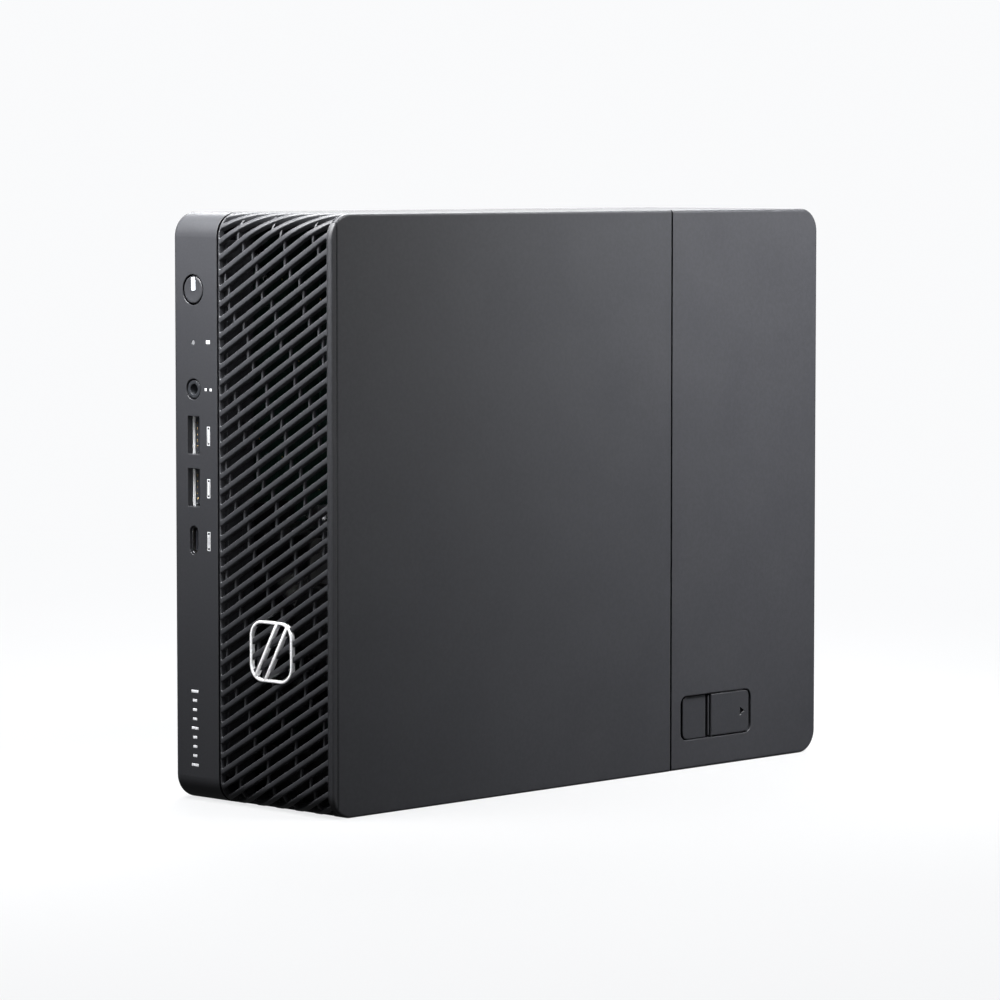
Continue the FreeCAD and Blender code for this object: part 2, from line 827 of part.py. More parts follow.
# Chassis: sheet tray open towards the side cover, with a stepped rear neck.
wall = dim("sheet_wall")
neck_inset, neck_end = dim("neck_inset"), dim("neck_end")
neck_left, neck_right = LEFT + neck_inset, RIGHT - 4.0
neck_inner = neck_inset + 1
screw_x, screw_z = neck_right - 6, HEIGHT - 11.5
insert_neck_radius = 3.2
vent_pitch, vent_width = 6, 2.4
mount_pitch = dim("mount_pitch")
mount_places = {
    f"{i}_{j}": (dim("mount_from_front") + i * mount_pitch / 2, HEIGHT / 2 + j * mount_pitch / 2)
    for i in (-1, 1) for j in (-1, 1)
}
chassis_outer = rounded(
    box("chassis_outer", LEFT, RIGHT - 1.6, bezel_depth + 0.2, SEAM, 0, HEIGHT),
    dim("edge_radius"), *mounting_edges(0),
)
tray_hollow = rounded(
    box("chassis_hollow_a", LEFT + wall, RIGHT, bezel_depth - 1, SEAM - 10.6, wall, HEIGHT - wall),
    dim("edge_radius") - wall, *mounting_edges(wall),
)
neck_box = box(
    "chassis_neck", neck_left, neck_right, SEAM - 10, neck_end, neck_inset, HEIGHT - neck_inset
)
neck_hollow = box(
    "chassis_hollow_b2", neck_left + 1, RIGHT, SEAM - 10.7, neck_end + 1,
    neck_inner, HEIGHT - neck_inner,
)
insert_holes = [
    cyl(f"insert_hole_{name}", "x", LEFT - 1, depth, z, insert_neck_radius, 3)
    for name, (depth, z) in mount_places.items()
]
# Upright slots through the mounting side wall.
vents = []
for i in range(9):
    near = 62 + vent_pitch * i
    vents.append(box(f"wall_vent_{i}", LEFT - 1, LEFT + 3, near, near + vent_width, 78, 116))
screw_rib = box(
    "screw_rib", neck_right - 10, neck_right, 155.8, 159.0, HEIGHT - 19, HEIGHT - neck_inset - 0.9
)
rib_hole = cyl("rib_hole", "y", screw_x, 155, screw_z, dim("screw_radius") + 0.05, 6)
chassis_block = fuse("chassis_block", chassis_outer, neck_box)
chassis_tray = cut("chassis_tray", chassis_block, tray_hollow, neck_hollow)
keep(
    cut(
        "chassis", fuse("chassis_walls", chassis_tray, screw_rib),
        *insert_holes, *vents, rib_hole,
    )
)

# Pressed inserts for the monitor mount, one in each corner of the pattern.
inserts = []
for name, (depth, z) in mount_places.items():
    insert_body = fuse(
        f"insert_body_{name}",
        cyl(f"insert_neck_{name}", "x", LEFT, depth, z, insert_neck_radius, wall),
        cyl(f"insert_collar_{name}", "x", LEFT + wall, depth, z, 4.2, 2.6),
    )
    bore = cyl(f"insert_bore_{name}", "x", LEFT - 1, depth, z, dim("mount_bore"), 8)
    inserts.append(cut(f"insert_{name}", insert_body, bore))
keep(group("mount_inserts", *inserts))

# Rubber feet on the mounting side.
foot_height, foot_radius = dim("foot_height"), dim("foot_radius")
feet = [
    cone(
        f"foot_{i}_{j}", "x", LEFT - foot_height, depth, z,
        foot_radius - 0.7, foot_radius, foot_height,
    )
    for i, depth in enumerate((26, 148)) for j, z in enumerate((14, HEIGHT - 14))
]
keep(group("rubber_feet", *feet))

# Side cover: lifts off sideways; its rear flange is notched for the screw.
cover_inner = RIGHT - cover_wall
notch_half = 2.15
cover = SketchedBody("side_cover")
cover.pad("YZ", cover_inner, RIGHT, rect(FRONT, behind(SEAM), 0, HEIGHT))
cover.fillet(CORNER, *profile_corners(FRONT))
cover.pocket(
    "YZ", cover_inner - 1, RIGHT + 1, rect(FRONT - 1, behind(lip_depth), -1, HEIGHT + 1)
)
cover.fillet(0.8, both(on_plane("x", RIGHT), beyond("y", high=behind(SEAM) - 0.05)))
cover.pad(
    "XZ", behind(20), behind(149),
    rect(RIGHT - 8, cover_inner + 0.1, 1.4, 2.3),
    rect(RIGHT - 8, cover_inner + 0.1, HEIGHT - 2.3, HEIGHT - 1.4),
)
cover.pad(
    "XZ", behind(14.6), behind(15.6), rect(RIGHT - 4.5, cover_inner + 0.1, 20, HEIGHT - 23.5)
)
cover.pad(
    "XZ", behind(159.2), behind(160.2),
    rect(RIGHT - 14, cover_inner + 0.1, HEIGHT - 20, HEIGHT - 3.7),
)
cover.pocket(
    "XZ", behind(159), behind(160.5),
    rect(RIGHT - 15, screw_x, screw_z - notch_half, screw_z + notch_half),
)
cover.pocket("XZ", behind(159), behind(160.5), circle(screw_x, screw_z, notch_half))

# Rear panel: closes the neck; carries the port openings and the screw hole.
plate_near, plate_far = 170.8, 172.0
through = (behind(plate_near) - 1, behind(plate_far) + 1)
graphics_left, graphics_right = 12.6, 20.6
# Board port openings: centre height, reach beyond the board face, half height.
board_openings = [
    (INLET_Z, 11.3, 6.1),
    (STACK_Z[0], 15.9, 7.65),
    (STACK_Z[1], 15.9, 7.65),
    (NETWORK_Z, 14.1, 8.4),
    (DISPLAY_Z[0], 8.3, 8.5),
    (DISPLAY_Z[1], 8.3, 8.5),
]
rear = SketchedBody("rear_panel")
rear.pad(
    "XZ", behind(plate_near), behind(plate_far),
    rect(neck_left + 1, neck_right - 0.2, neck_inner, HEIGHT - neck_inner),
)
rear.pad(
    "XZ", behind(163), behind(plate_near) + 0.1,
    rect(neck_right - 1.2, neck_right - 0.2, 30, HEIGHT - neck_inner),
)
rear.pocket("XZ", *through, rect(RIGHT - 7.6, neck_right + 1, 7, 29))
rear.pocket("XZ", *through, circle(screw_x, screw_z, dim("shoulder_radius") + 0.06))
rear.pocket(
    "XZ", *through,
    *[rect(BOARD - 0.2, BOARD + reach, z - half, z + half) for z, reach, half in board_openings],
    *[rect(graphics_left, graphics_right, z - 8, z + 8) for z in GRAPHICS_Z],
)
rear.pocket("XZ", *through, *[rect(-6, 24, 30 + 6.5 * i, 33.2 + 6.5 * i) for i in range(10)])
rear.pocket("XZ", *through, rect(BOARD + 1, BOARD + 4, 146, 153))
rear.pad("XZ", behind(plate_far) - 0.1, behind(179), rect(29.4, 30.2, 12, 23))

# Cable cover: deep shell over the rear neck with a latch pocket and an outlet.
shell_wall = dim("shell_wall")
shell_near = SEAM + dim("seam_gap")
latch_near, latch_far = dim("latch_front"), dim("latch_back")
latch_low, latch_high = dim("latch_low"), dim("latch_high")
outlet_x, outlet_near = 2, 178
outlet_half, outlet_far = dim("outlet_width") / 2, dim("outlet_length") + outlet_near
shell = SketchedBody("cover_body", kept=False)
shell.pad("YZ", LEFT, RIGHT, rect(behind(shell_near), REAR, 0, HEIGHT))
shell.fillet(CORNER, *profile_corners(REAR))
for side_x, radius in ((LEFT, dim("edge_radius")), (RIGHT, dim("rim_radius"))):
    shell.fillet(radius, both(on_plane("x", side_x), beyond("y", low=behind(shell_near) + 0.1)))
shell_hollow = rounded(
    box(
        "cover_hollow", LEFT + shell_wall, RIGHT - shell_wall,
        shell_near - 5, DEPTH - shell_wall, shell_wall, HEIGHT - shell_wall,
    ),
    CORNER - shell_wall, *profile_corners(REAR - shell_wall, shell_wall),
)
latch_pocket = rounded(
    box("latch_pocket", RIGHT - 2.4, RIGHT + 1, latch_near, latch_far, latch_low, latch_high),
    3.0,
    *[
        line_at("x", y=behind(depth), z=z)
        for depth in (latch_near, latch_far) for z in (latch_low, latch_high)
    ],
)
latch_slot = box(
    "latch_slot", RIGHT - 6, RIGHT - 2,
    latch_near + 13.2, latch_far - 6.2, latch_low + 5, latch_high - 5,
)
latch_housing = box(
    "latch_housing", RIGHT - 4.6, RIGHT - shell_wall + 0.1,
    latch_near - 1.5, latch_far + 2, latch_low - 1.5, latch_high + 1.5,
)
spring_post = box(
    "spring_post", RIGHT - 6.5, RIGHT - shell_wall + 0.1,
    latch_far + 3.4, latch_far + 5.4, latch_high + 2.2, latch_high + 8.4,
)
outlet = rounded(
    box(
        "cable_outlet", outlet_x - outlet_half, outlet_x + outlet_half,
        outlet_near, outlet_far, -1, shell_wall + 1,
    ),
    5.0,
    *[
        line_at("z", x=outlet_x + side * outlet_half, y=behind(depth))
        for side in (-1, 1) for depth in (outlet_near, outlet_far)
    ],
)
louvres = [
    box(
        f"louvre_{i}_{j}", x - 13, x + 13, DEPTH - 4, DEPTH + 1,
        54 + 7.6 * i, 57 + 7.6 * i,
    )
    for i in range(12) for j, x in enumerate((-17.5, 17.5))
]
cover_skin = cut("cover_skin", shell.body, shell_hollow)
keep(
    cut(
        "cable_cover", fuse("cover_shell", cover_skin, latch_housing, spring_post),
        latch_pocket, latch_slot, outlet, *louvres,
    )
)

# Latch: knob in the pocket, post through the slot, hook plate behind it.
knob_low, knob_high = latch_low + 0.35, latch_high - 0.35
knob_far = behind(latch_far - 0.8)
rest_near = behind(latch_near + dim("latch_gap"))
latch_middle = (latch_low + latch_high) / 2
plate_inner, plate_outer = RIGHT - 6.4, RIGHT - 4.9
arm_far = 192  # back of the arm that holds the spring
latch = SketchedBody("cover_latch")
latch.pad(
    "YZ", RIGHT - 2.3, RIGHT - 0.15,
    rect(behind(latch_near + 16.2), knob_far, knob_low, knob_high),
)
latch.fillet(2.4, *[line_at("x", y=knob_far, z=z) for z in (knob_low, knob_high)])
latch.fillet(0.5, both(on_plane("x", RIGHT - 0.15), beyond("y", low=behind(latch_near))))
# Thumb rest ahead of the knob; a low web with a grip rib joins the two.
latch.pad(
    "YZ", RIGHT - 2.3, RIGHT - 1.8,
    rect(behind(latch_near + 13.7), behind(latch_near + 16.4), knob_low, knob_high),
)
latch.pad(
    "YZ", RIGHT - 2.3, RIGHT - 0.9,
    rect(rest_near, behind(latch_near + 13.9), knob_low, knob_high),
)
latch.fillet(2.4, *[line_at("x", y=rest_near, z=z) for z in (knob_low, knob_high)])
latch.pad(
    "YZ", RIGHT - 1.9, RIGHT - 0.5,
    rect(
        behind(latch_near + 14.75), behind(latch_near + 15.35), latch_low + 0.9, latch_high - 0.9
    ),
)
# Arrow sunk in the knob, pointing back.
latch.pocket(
    "YZ", RIGHT - 0.5, RIGHT + 1,
    poly(
        (behind(latch_far - 5.6), latch_middle - 1.5),
        (behind(latch_far - 3.2), latch_middle),
        (behind(latch_far - 5.6), latch_middle + 1.5),
    ),
)
# Post, then the hook plate, its front lip and the spring arm.
latch.pad(
    "YZ", RIGHT - 5.0, RIGHT - 2.2,
    rect(behind(latch_near + 22), behind(latch_near + 30), latch_low + 5.3, latch_high - 5.3),
)
for near, far in ((178, 198), (176, 178.1)):
    latch.pad(
        "YZ", plate_inner, plate_outer,
        rect(behind(near), behind(far), latch_low + 2, latch_high - 1.8),
    )
latch.pad(
    "YZ", RIGHT - 7.2, plate_inner + 0.1,
    rect(behind(176), behind(177.6), latch_low + 3, latch_high - 3),
)
latch.pad(
    "YZ", plate_inner, plate_outer,
    rect(behind(190), behind(arm_far), latch_high - 1.9, latch_high + 8.4),
)

# Return spring of the latch, stretched between the arm and the spring post.
spring_length = (latch_far + 3.4 - arm_far).value - 0.7
spring_turns, coil_radius, wire_radius = 9.0, 1.7, 0.25
spring = doc.addObject("Part::Feature", "latch_spring")
coil = Part.makeHelix(spring_length / spring_turns, spring_length, coil_radius)
wire_section = Part.Wire(
    Part.makeCircle(wire_radius, Vector(coil_radius, 0, 0), Vector(0, 1, 0.25))
)
spring.Shape = Part.Wire(coil).makePipeShell([wire_section], True, True)
spring.Placement = FreeCAD.Placement(
    Vector((RIGHT - 5.65).value, behind(arm_far + 0.35).value, (latch_high + 5.6).value),
    TURN["y"],
)
keep(spring)

# Cover thumbscrew with its retaining clip; outline of radius and distance
# behind the front face.
shank, shoulder = dim("screw_radius"), dim("shoulder_radius")
screw = SketchedBody("thumbscrew")
place(screw.body, screw_x, FRONT, screw_z)
screw.revolve(
    (0, 156.2), (shank - 0.3, 156.2), (shank, 156.6), (shank, 160.6),
    (shoulder, 160.6), (shoulder, 165.9), (shoulder - 0.6, 165.9), (shoulder - 0.6, 166.75),
    (shoulder, 166.75), (shoulder, 173.0), (6.0, 173.0), (6.5, 173.5),
    (6.5, 180.5), (6.0, 181.0), (0, 181.0),
)
groove = screw.pocket("XZ", 172.5, 182, rect(6.2, 7.5, -0.5, 0.5))
screw.ring(groove, "Y_Axis", 24)
screw.pad("XZ", 180.9, 181.9, circle(0, 0, 3.5))
keep(
    cut(
        "thumbscrew_clip",
        cyl("clip_disc", "y", screw_x, 166.0, screw_z, 4.2, 0.65),
        cyl("clip_bore", "y", screw_x, 165, screw_z, shoulder - 0.55, 3),
        box("clip_gap", screw_x - 1.8, screw_x + 1.8, 165, 168, screw_z - 6, screw_z),
    )
)

# ============================================================ front controls
# Power button: outline of radius and distance behind the front face.
button = SketchedBody("button_body", kept=False)
place(button.body, PORT_X, FRONT, POWER_Z)
button.revolve(
    (0, 0.25), (power_radius - 1.4, 0.1), (power_radius - 0.4, 0.0), (power_radius, 0.4),
    (power_radius, 2.6), (power_radius + 1.1, 2.6), (power_radius + 1.1, 3.4),
    (1.6, 3.4), (1.6, 7.5), (0, 7.5),
)


def power_light(name, near):
    return box(name, PORT_X - 0.85, PORT_X + 0.85, near, 2.4, POWER_Z - 0.2, POWER_Z + 4.1)


keep(power_light("power_light", 0.3))
keep(cut("power_button", button.body, power_light("light_hole", -0.5)))
keep(
    fuse(
        "power_switch",
        box("switch_case", BOARD, PORT_X + 3, 9.4, 13.4, POWER_Z - 3, POWER_Z + 3),
        cyl("switch_plunger", "y", PORT_X, 8.65, POWER_Z, 1.4, 1.0),
    )
)
keep(
    fuse(
        "drive_light_pipe",
        cyl("pipe_rod", "y", PORT_X, 0.1, LIGHT_Z, 0.75, 10.0),
        box("pipe_foot", BOARD, PORT_X + 1, 9.6, 12, LIGHT_Z - 1.5, LIGHT_Z + 1.5),
    )
)
keep(
    cut(
        "headset_jack",
        fuse(
            "jack_solid",
            cyl("jack_collar", "y", PORT_X, 0.3, JACK_Z, 2.9, 4),
            box("jack_case", BOARD, PORT_X + 3.2, 3.2, 15.0, JACK_Z - 3.6, JACK_Z + 3.6),
        ),
        cyl("jack_hole", "y", PORT_X, -1, JACK_Z, dim("jack_bore"), 15.0),
    )
)

# USB-A sockets: folded shell, contact bar and the block at its back.
for label, z in USB_Z.items():
    keep(
        cut(
            f"usb_shell_{label}",
            box_about(f"usb_out_{label}", PORT_X, usb_half_x, 2.1, 14.8, z, 6.58),
            box_about(f"usb_in_{label}", PORT_X, 2.56, 0, 15.5, z, 6.25),
        )
    )
    keep(
        fuse(
            f"usb_tongue_{label}",
            box(f"usb_bar_{label}", PORT_X - 2.0, PORT_X - 0.2, 3.0, 12.6, z - 5.55, z + 5.55),
            box_about(f"usb_back_{label}", PORT_X, 2.56, 12.5, 14.7, z, 6.25),
        )
    )

# USB-C socket.
keep(
    fuse(
        "usb_c_shell",
        cut(
            "usbc_tube",
            rounded_box("usbc_out", PORT_X, 1.6, 0.6, 9.0, USB_C_Z, 4.47, 1.55),
            rounded_box("usbc_in", PORT_X, 1.3, 0, 8.0, USB_C_Z, 4.17, 1.25),
        ),
        box("usbc_foot", BOARD, PORT_X - 1.0, 8.8, 12.0, USB_C_Z - 4.2, USB_C_Z + 4.2),
    )
)
keep(box_about("usb_c_tongue", PORT_X, 0.35, 1.2, 8.0, USB_C_Z, 3.35))

# ================================================================ electronics
# Main board on six standoffs; places are (distance behind the front, z).
board_back = BOARD - dim("board_wall")
board_hole = 1.65
post_places = [(depth, z) for z in (13.0, 181.0) for depth in (30.0, 90.0, 142.0)]
sink_places = [(depth, z) for depth in (54.5, 115.5) for z in (29.5, 90.5)]
board = SketchedBody("motherboard")
board.pad("YZ", board_back, BOARD, rect(behind(9.2), behind(168.5), 6, 187))
for places in (post_places, sink_places):
    board.pocket(
        "YZ", board_back - 1, BOARD + 1,
        *[circle(behind(depth), z, board_hole) for depth, z in places],
    )
standoff_x = LEFT + wall
keep(
    group(
        "board_standoffs",
        *[
            cut(
                f"standoff_{i}",
                cyl(f"standoff_post_{i}", "x", standoff_x, depth, z, 3.0, board_back - standoff_x),
                cyl(f"standoff_bore_{i}", "x", standoff_x + 0.5, depth, z, 1.55, 8),
            )
            for i, (depth, z) in enumerate(post_places)
        ],
    )
)
keep(
    group(
        "board_screws",
        *[
            fuse(
                f"board_screw_{i}",
                cyl(f"screw_head_{i}", "x", BOARD, depth, z, 2.9, 1.8),
                cyl(f"screw_shank_{i}", "x", BOARD - 5, depth, z, 1.5, 5.1),
            )
            for i, (depth, z) in enumerate(post_places)
        ],
    )
)

# Processor in its socket, under the heat sink.
cpu_seat, cpu_top = BOARD + 1.1, BOARD + 5.8
keep(
    cut(
        "cpu_socket",
        box("socket_block", BOARD, BOARD + 2.9, 61, 109, 36, 84),
        box("socket_well", cpu_seat, BOARD + 4, 66, 104, 41, 79),
    )
)
keep(
    fuse(
        "processor",
        box("cpu_substrate", cpu_seat, BOARD + 2.3, 66.2, 103.8, 41.2, 78.8),
        box("cpu_lid", BOARD + 2.3, cpu_top, 70.5, 99.5, 45.5, 74.5),
    )
)
sink = SketchedBody("heat_sink")
sink.pad("YZ", cpu_top, cpu_top + 4, rect(behind(50), behind(120), 25, 95))
fin = sink.pad("YZ", cpu_top + 3.9, cpu_top + 34, rect(behind(60), behind(111), 26.0, 26.7))
sink.row(fin, "Z_Axis", dim("fin_pitch") * (dim("fin_count") - 1), dim("fin_count"))
sink.pocket(
    "YZ", cpu_top - 1, cpu_top + 5,
    *[circle(behind(depth), z, board_hole) for depth, z in sink_places],
)
shank_length = cpu_top + 4.1 - board_back + 0.5
keep(
    group(
        "heat_sink_screws",
        *[
            fuse(
                f"sink_screw_{i}",
                cyl(f"sink_head_{i}", "x", cpu_top + 4, depth, z, 3.0, 2.4),
                cyl(f"sink_shank_{i}", "x", board_back - 0.5, depth, z, 1.5, shank_length),
            )
            for i, (depth, z) in enumerate(sink_places)
        ],
    )
)

# Main fan: axial, blowing back through the duct and the heat sink.
fan_x, fan_z, fan_half, fan_back = 5.0, 60.0, 30, 42
hub_radius = 12
fan_ring = cut(
    "fan_ring",
    rounded_box("fan_box", fan_x, fan_half, 22, fan_back, fan_z, fan_half, 3.0),
    cyl("fan_bore", "y", fan_x, 20, fan_z, dim("fan_radius"), 25),
    *[
        cyl(f"fan_ear_{i}_{j}", "y", fan_x + i * 25.5, 20, fan_z + j * 25.5, 2.2, 25)
        for i in (-1, 1) for j in (-1, 1)
    ],
)
keep(
    cut(
        "fan_frame",
        fuse(
            "fan_frame_solid",
            fan_ring,
            cyl("fan_hub", "y", fan_x, 38.6, fan_z, hub_radius, 3.4),
            box_about("strut_a", fan_x, 29, 39.6, fan_back, fan_z, 1.2),
            box_about("strut_b", fan_x, 1.2, 39.6, fan_back, fan_z, 29),
        ),
        cyl("fan_bearing", "y", fan_x, 36, fan_z, 1.55, 10),
    )
)
rotor = SketchedBody("fan_rotor")
place(rotor.body, fan_x, FRONT, fan_z)
rotor.pad("XZ", 24, 37.4, circle(0, 0, hub_radius))
rotor.fillet(1.5, both(on_plane("y", 24), lambda edge: not straight(edge)))
rotor.pad("XZ", 37.3, 41, circle(0, 0, 1.5))
blade = rotor.pad(
    "XY", 11.0, 27.0,
    poly((-5.2, 25.2), (-4.0, 25.2), (0.4, 30.0), (5.4, 36.4), (4.2, 36.6), (-1.0, 30.8)),
)
rotor.ring(blade, "Y_Axis", dim("blade_count"))
keep(
    cut(
        "fan_duct",
        box_about("duct_out", fan_x, fan_half, fan_back, 49.8, fan_z, fan_half),
        box_about("duct_in", fan_x, 28.8, 41, 52, fan_z, 28.8),
    )
)

# Fan lead: points of its middle line as x, distance behind the front, z.
lead_points = [
    Vector(x, behind(depth).value, z)
    for x, depth, z in (
        (-26.0, 32, 40), (-26.1, 32.4, 36), (-27.2, 35, 28), (-27.6, 36, 22),
    )
]
lead_curve = Part.BSplineCurve()
lead_curve.interpolate(lead_points)
lead_start = lead_curve.tangent(lead_curve.FirstParameter)[0]
lead_section = Part.Wire(Part.makeCircle(0.9, lead_points[0], lead_start))
lead = doc.addObject("Part::Feature", "fan_lead_tube")
lead.Shape = Part.Wire(lead_curve.toShape()).makePipeShell([lead_section], True, True)
keep(fuse("fan_lead", lead, box("fan_plug", BOARD, BOARD + 5, 32.5, 39.5, 16.5, 22.5)))

# Memory: two modules side by side, each given by its offset from the board.
module_wall = 1.0
inner_offset, outer_offset = 2.1, 7.1
keep(
    cut(
        "memory_sockets",
        box("memory_block", BOARD, BOARD + 9.6, 84, 90.5, 107, 177),
        *[
            box(
                f"memory_slot_{label}", BOARD + offset, BOARD + offset + module_wall,
                80, 88, 108.2, 176.2,
            )
            for label, offset in (("a", inner_offset), ("b", outer_offset))
        ],
    )
)
for label, offset in (("inner", inner_offset), ("outer", outer_offset)):
    module_x = BOARD + offset
    chips = [
        box(
            f"chip_{label}_{i}", module_x + 0.9, module_x + 2.0,
            60, 72, 110.5 + 16.2 * i, 122.5 + 16.2 * i,
        )
        for i in range(4)
    ]
    module_board = box(
        f"memory_pcb_{label}", module_x, module_x + module_wall, 57.5, 87.5, 108.5, 175.9
    )
    keep(fuse(f"memory_module_{label}", module_board, *chips))

# Drive and wireless card, each notched at its far end for a screw.
card_low, card_high = BOARD + 2.2, BOARD + 3.0
drive_notch, radio_notch = (33.0, 172.3), (130.0, 159.5)
keep(
    group(
        "card_sockets",
        cut(
            "drive_socket",
            box("drive_socket_block", BOARD, BOARD + 4.2, 22, 44, 90, 97),
            box("drive_socket_slot", card_low, card_high, 20, 46, 92, 98),
        ),
        cut(
            "radio_socket",
            box("radio_socket_block", BOARD, BOARD + 4.2, 97, 103, 148, 171),
            box("radio_socket_slot", card_low, card_high, 99, 104, 147, 172),
        ),
    )
)
keep(
    cut(
        "solid_state_drive",
        fuse(
            "drive_solid",
            box("drive_pcb", card_low, card_high, 22.2, 43.8, 92.5, 172.3),
            *[
                box(f"drive_chip_{label}", BOARD + 2.9, BOARD + 4.3, 25, 41, low, high)
                for label, low, high in (("a", 103, 118), ("b", 122, 140), ("c", 144, 162))
            ],
        ),
        cyl("drive_notch", "x", BOARD, *drive_notch, 1.8, 6),
    )
)
keep(
    cut(
        "wireless_card",
        fuse(
            "radio_solid",
            box("radio_pcb", card_low, card_high, 99.2, 130, 148.5, 170.5),
            box("radio_can", BOARD + 2.9, BOARD + 4.6, 106, 124, 151, 168),
        ),
        cyl("radio_notch", "x", BOARD, *radio_notch, 1.8, 6),
    )
)
keep(
    group(
        "card_screws",
        *[
            fuse(
                f"card_screw_{i}",
                cyl(f"card_post_{i}", "x", BOARD, depth, z, 3.0, 2.2),
                cyl(f"card_stem_{i}", "x", BOARD + 2.1, depth, z, 1.7, 1.0),
                cyl(f"card_head_{i}", "x", card_high, depth, z, 2.6, 1.0),
            )
            for i, (depth, z) in enumerate((drive_notch, radio_notch))
        ],
    )
)

# Battery and speaker.
battery_centre = (116, 126)
battery_x = BOARD + 1.0
keep(
    cut(
        "battery_holder",
        cyl("holder_body", "x", BOARD, *battery_centre, 11.8, 3.2),
        cyl("holder_well", "x", battery_x, *battery_centre, 10.1, 5),
        box("holder_notch", battery_x, BOARD + 5, 112, 120, 112, 118),
    )
)
keep(cyl("coin_cell", "x", battery_x, *battery_centre, 10.0, 3.2))
keep(
    cut(
        "speaker",
        box("speaker_box", -14, 20, 20, 41, 1.2, 18),
        cone("speaker_cone", "y", 3, 19.5, 9.6, 7.2, 3.0, 6),
    )
)

# Riser and graphics card.
riser_low, riser_high = 101.6, 103.2
card_left, card_right = 11.2, 12.8
keep(box("riser_card", BOARD + 1.2, 24, 108, 166, riser_low, riser_high))
keep(
    cut(
        "riser_socket",
        box("riser_block", BOARD, BOARD + 9, 112, 152, 99.4, 105.4),
        box("riser_slot", BOARD + 1.2, BOARD + 10, 111, 153, riser_low, riser_high),
    )
)
keep(
    cut(
        "graphics_slot",
        box("slot_block", 8.4, 15.6, 112, 152, riser_high, 113.0),
        box("slot_well", card_left, card_right, 113.5, 150.5, 106, 114),
    )
)
keep(
    fuse(
        "graphics_board",
        box("graphics_pcb", card_left, card_right, 62, 167.5, 113.0, 180),
        box("graphics_edge", card_left, card_right, 114, 150, 106.2, 113.2),
        box("graphics_chip", 12.7, 14.4, 94, 122, 132, 160),
    )
)

# Graphics cooler: finned plate with a round recess for the fan.
cooler_y, cooler_z = behind(108.0), 146.5
cooler_pitch, cooler_fins = 3.1, 20
cooler = SketchedBody("graphics_heat_sink")
cooler.pad("YZ", 14.4, 17.0, rect(behind(66), behind(150), 116, 177))
cooler_fin = cooler.pad("YZ", 16.9, 27.0, rect(behind(66), behind(150), 116.6, 117.3))
cooler.row(cooler_fin, "Z_Axis", cooler_pitch * (cooler_fins - 1), cooler_fins)
cooler.pocket("YZ", 17.0, 28, circle(cooler_y, cooler_z, 22.5))
cooler.pocket("YZ", 14, 18, circle(cooler_y, cooler_z, 1.25))
rotor = SketchedBody("graphics_fan_rotor")
place(rotor.body, 0, cooler_y, cooler_z)
rotor.pad("YZ", 18.2, 26.0, circle(0, 0, 8.5))
rotor.pad("YZ", 14.9, 18.3, circle(0, 0, 1.2))
blade = rotor.pad("XY", 7.8, 21.0, poly((18.6, -2.4), (25.4, 1.6), (25.4, 2.6), (18.6, -1.4)))
rotor.ring(blade, "X_Axis", 9)

# Graphics ports and the bracket they pass through.
port_face = 172.8  # back face of every rear socket
keep(
    group(
        "graphics_ports",
        *[
            cut(
                f"graphics_port_{i}",
                box(
                    f"graphics_port_out_{i}", card_right, 20.3, 158, port_face, z - 7.6, z + 7.6
                ),
                box(f"graphics_port_in_{i}", 14.6, 18.8, 164, 173.5, z - 6.2, z + 6.2),
            )
            for i, z in enumerate(GRAPHICS_Z)
        ],
    )
)
keep(
    cut(
        "graphics_bracket",
        box("bracket_plate", 8.0, 26.0, 169.7, 170.6, 108, 176),
        *[
            box(f"bracket_hole_{i}", graphics_left, graphics_right, 169, 172, z - 8, z + 8)
            for i, z in enumerate(GRAPHICS_Z)
        ],
    )
)


# Rear ports on the main board.
def board_box(name, low, high, near, far, z, half_z):
    """Box between two heights above the board face, centred on z."""
    return box(name, BOARD + low, BOARD + high, near, far, z - half_z, z + half_z)


keep(
    cut(
        "power_inlet",
        board_box("inlet_case", 0, 11, 157, port_face, INLET_Z, 5.9),
        cut(
            "inlet_gap",
            cyl("inlet_hole", "y", BOARD + 5.5, 162, INLET_Z, 3.75, 12),
            cyl("inlet_pin", "y", BOARD + 5.5, 161, INLET_Z, 0.6, 9.5),
        ),
    )
)
stacks = []
for i, z in enumerate(STACK_Z):
    holes, tongues = [], []
    for j, low in enumerate((0.9, 8.9)):
        holes.append(board_box(f"stack_hole_{i}_{j}", low, low + 5.4, 160, 175, z, 6.3))
        tongues.append(
            board_box(f"stack_bar_{i}_{j}", low + 2.2, low + 4.0, 159.9, 170.5, z, 5.5)
        )
    case = board_box(f"stack_case_{i}", 0, 15.7, 154, port_face, z, 7.4)
    stacks.append(fuse(f"usb_stack_{i}", cut(f"stack_shell_{i}", case, *holes), *tongues))
keep(group("rear_usb_stacks", *stacks))
keep(
    cut(
        "network_jack",
        board_box("network_case", 0, 13.9, 154, port_face, NETWORK_Z, 8.2),
        board_box("network_hole", 1.6, 9.6, 159, 175, NETWORK_Z, 5.9),
        board_box("network_step", 9.5, 12.2, 159, 175, NETWORK_Z, 3.0),
    )
)
keep(
    group(
        "display_sockets",
        *[
            cut(
                f"display_socket_{i}",
                board_box(f"display_case_{i}", 0, 8.1, 157, port_face, z, 8.3),
                board_box(f"display_hole_{i}", 1.6, 6.5, 162, 175, z, 6.9),
            )
            for i, z in enumerate(DISPLAY_Z)
        ],
    )
)

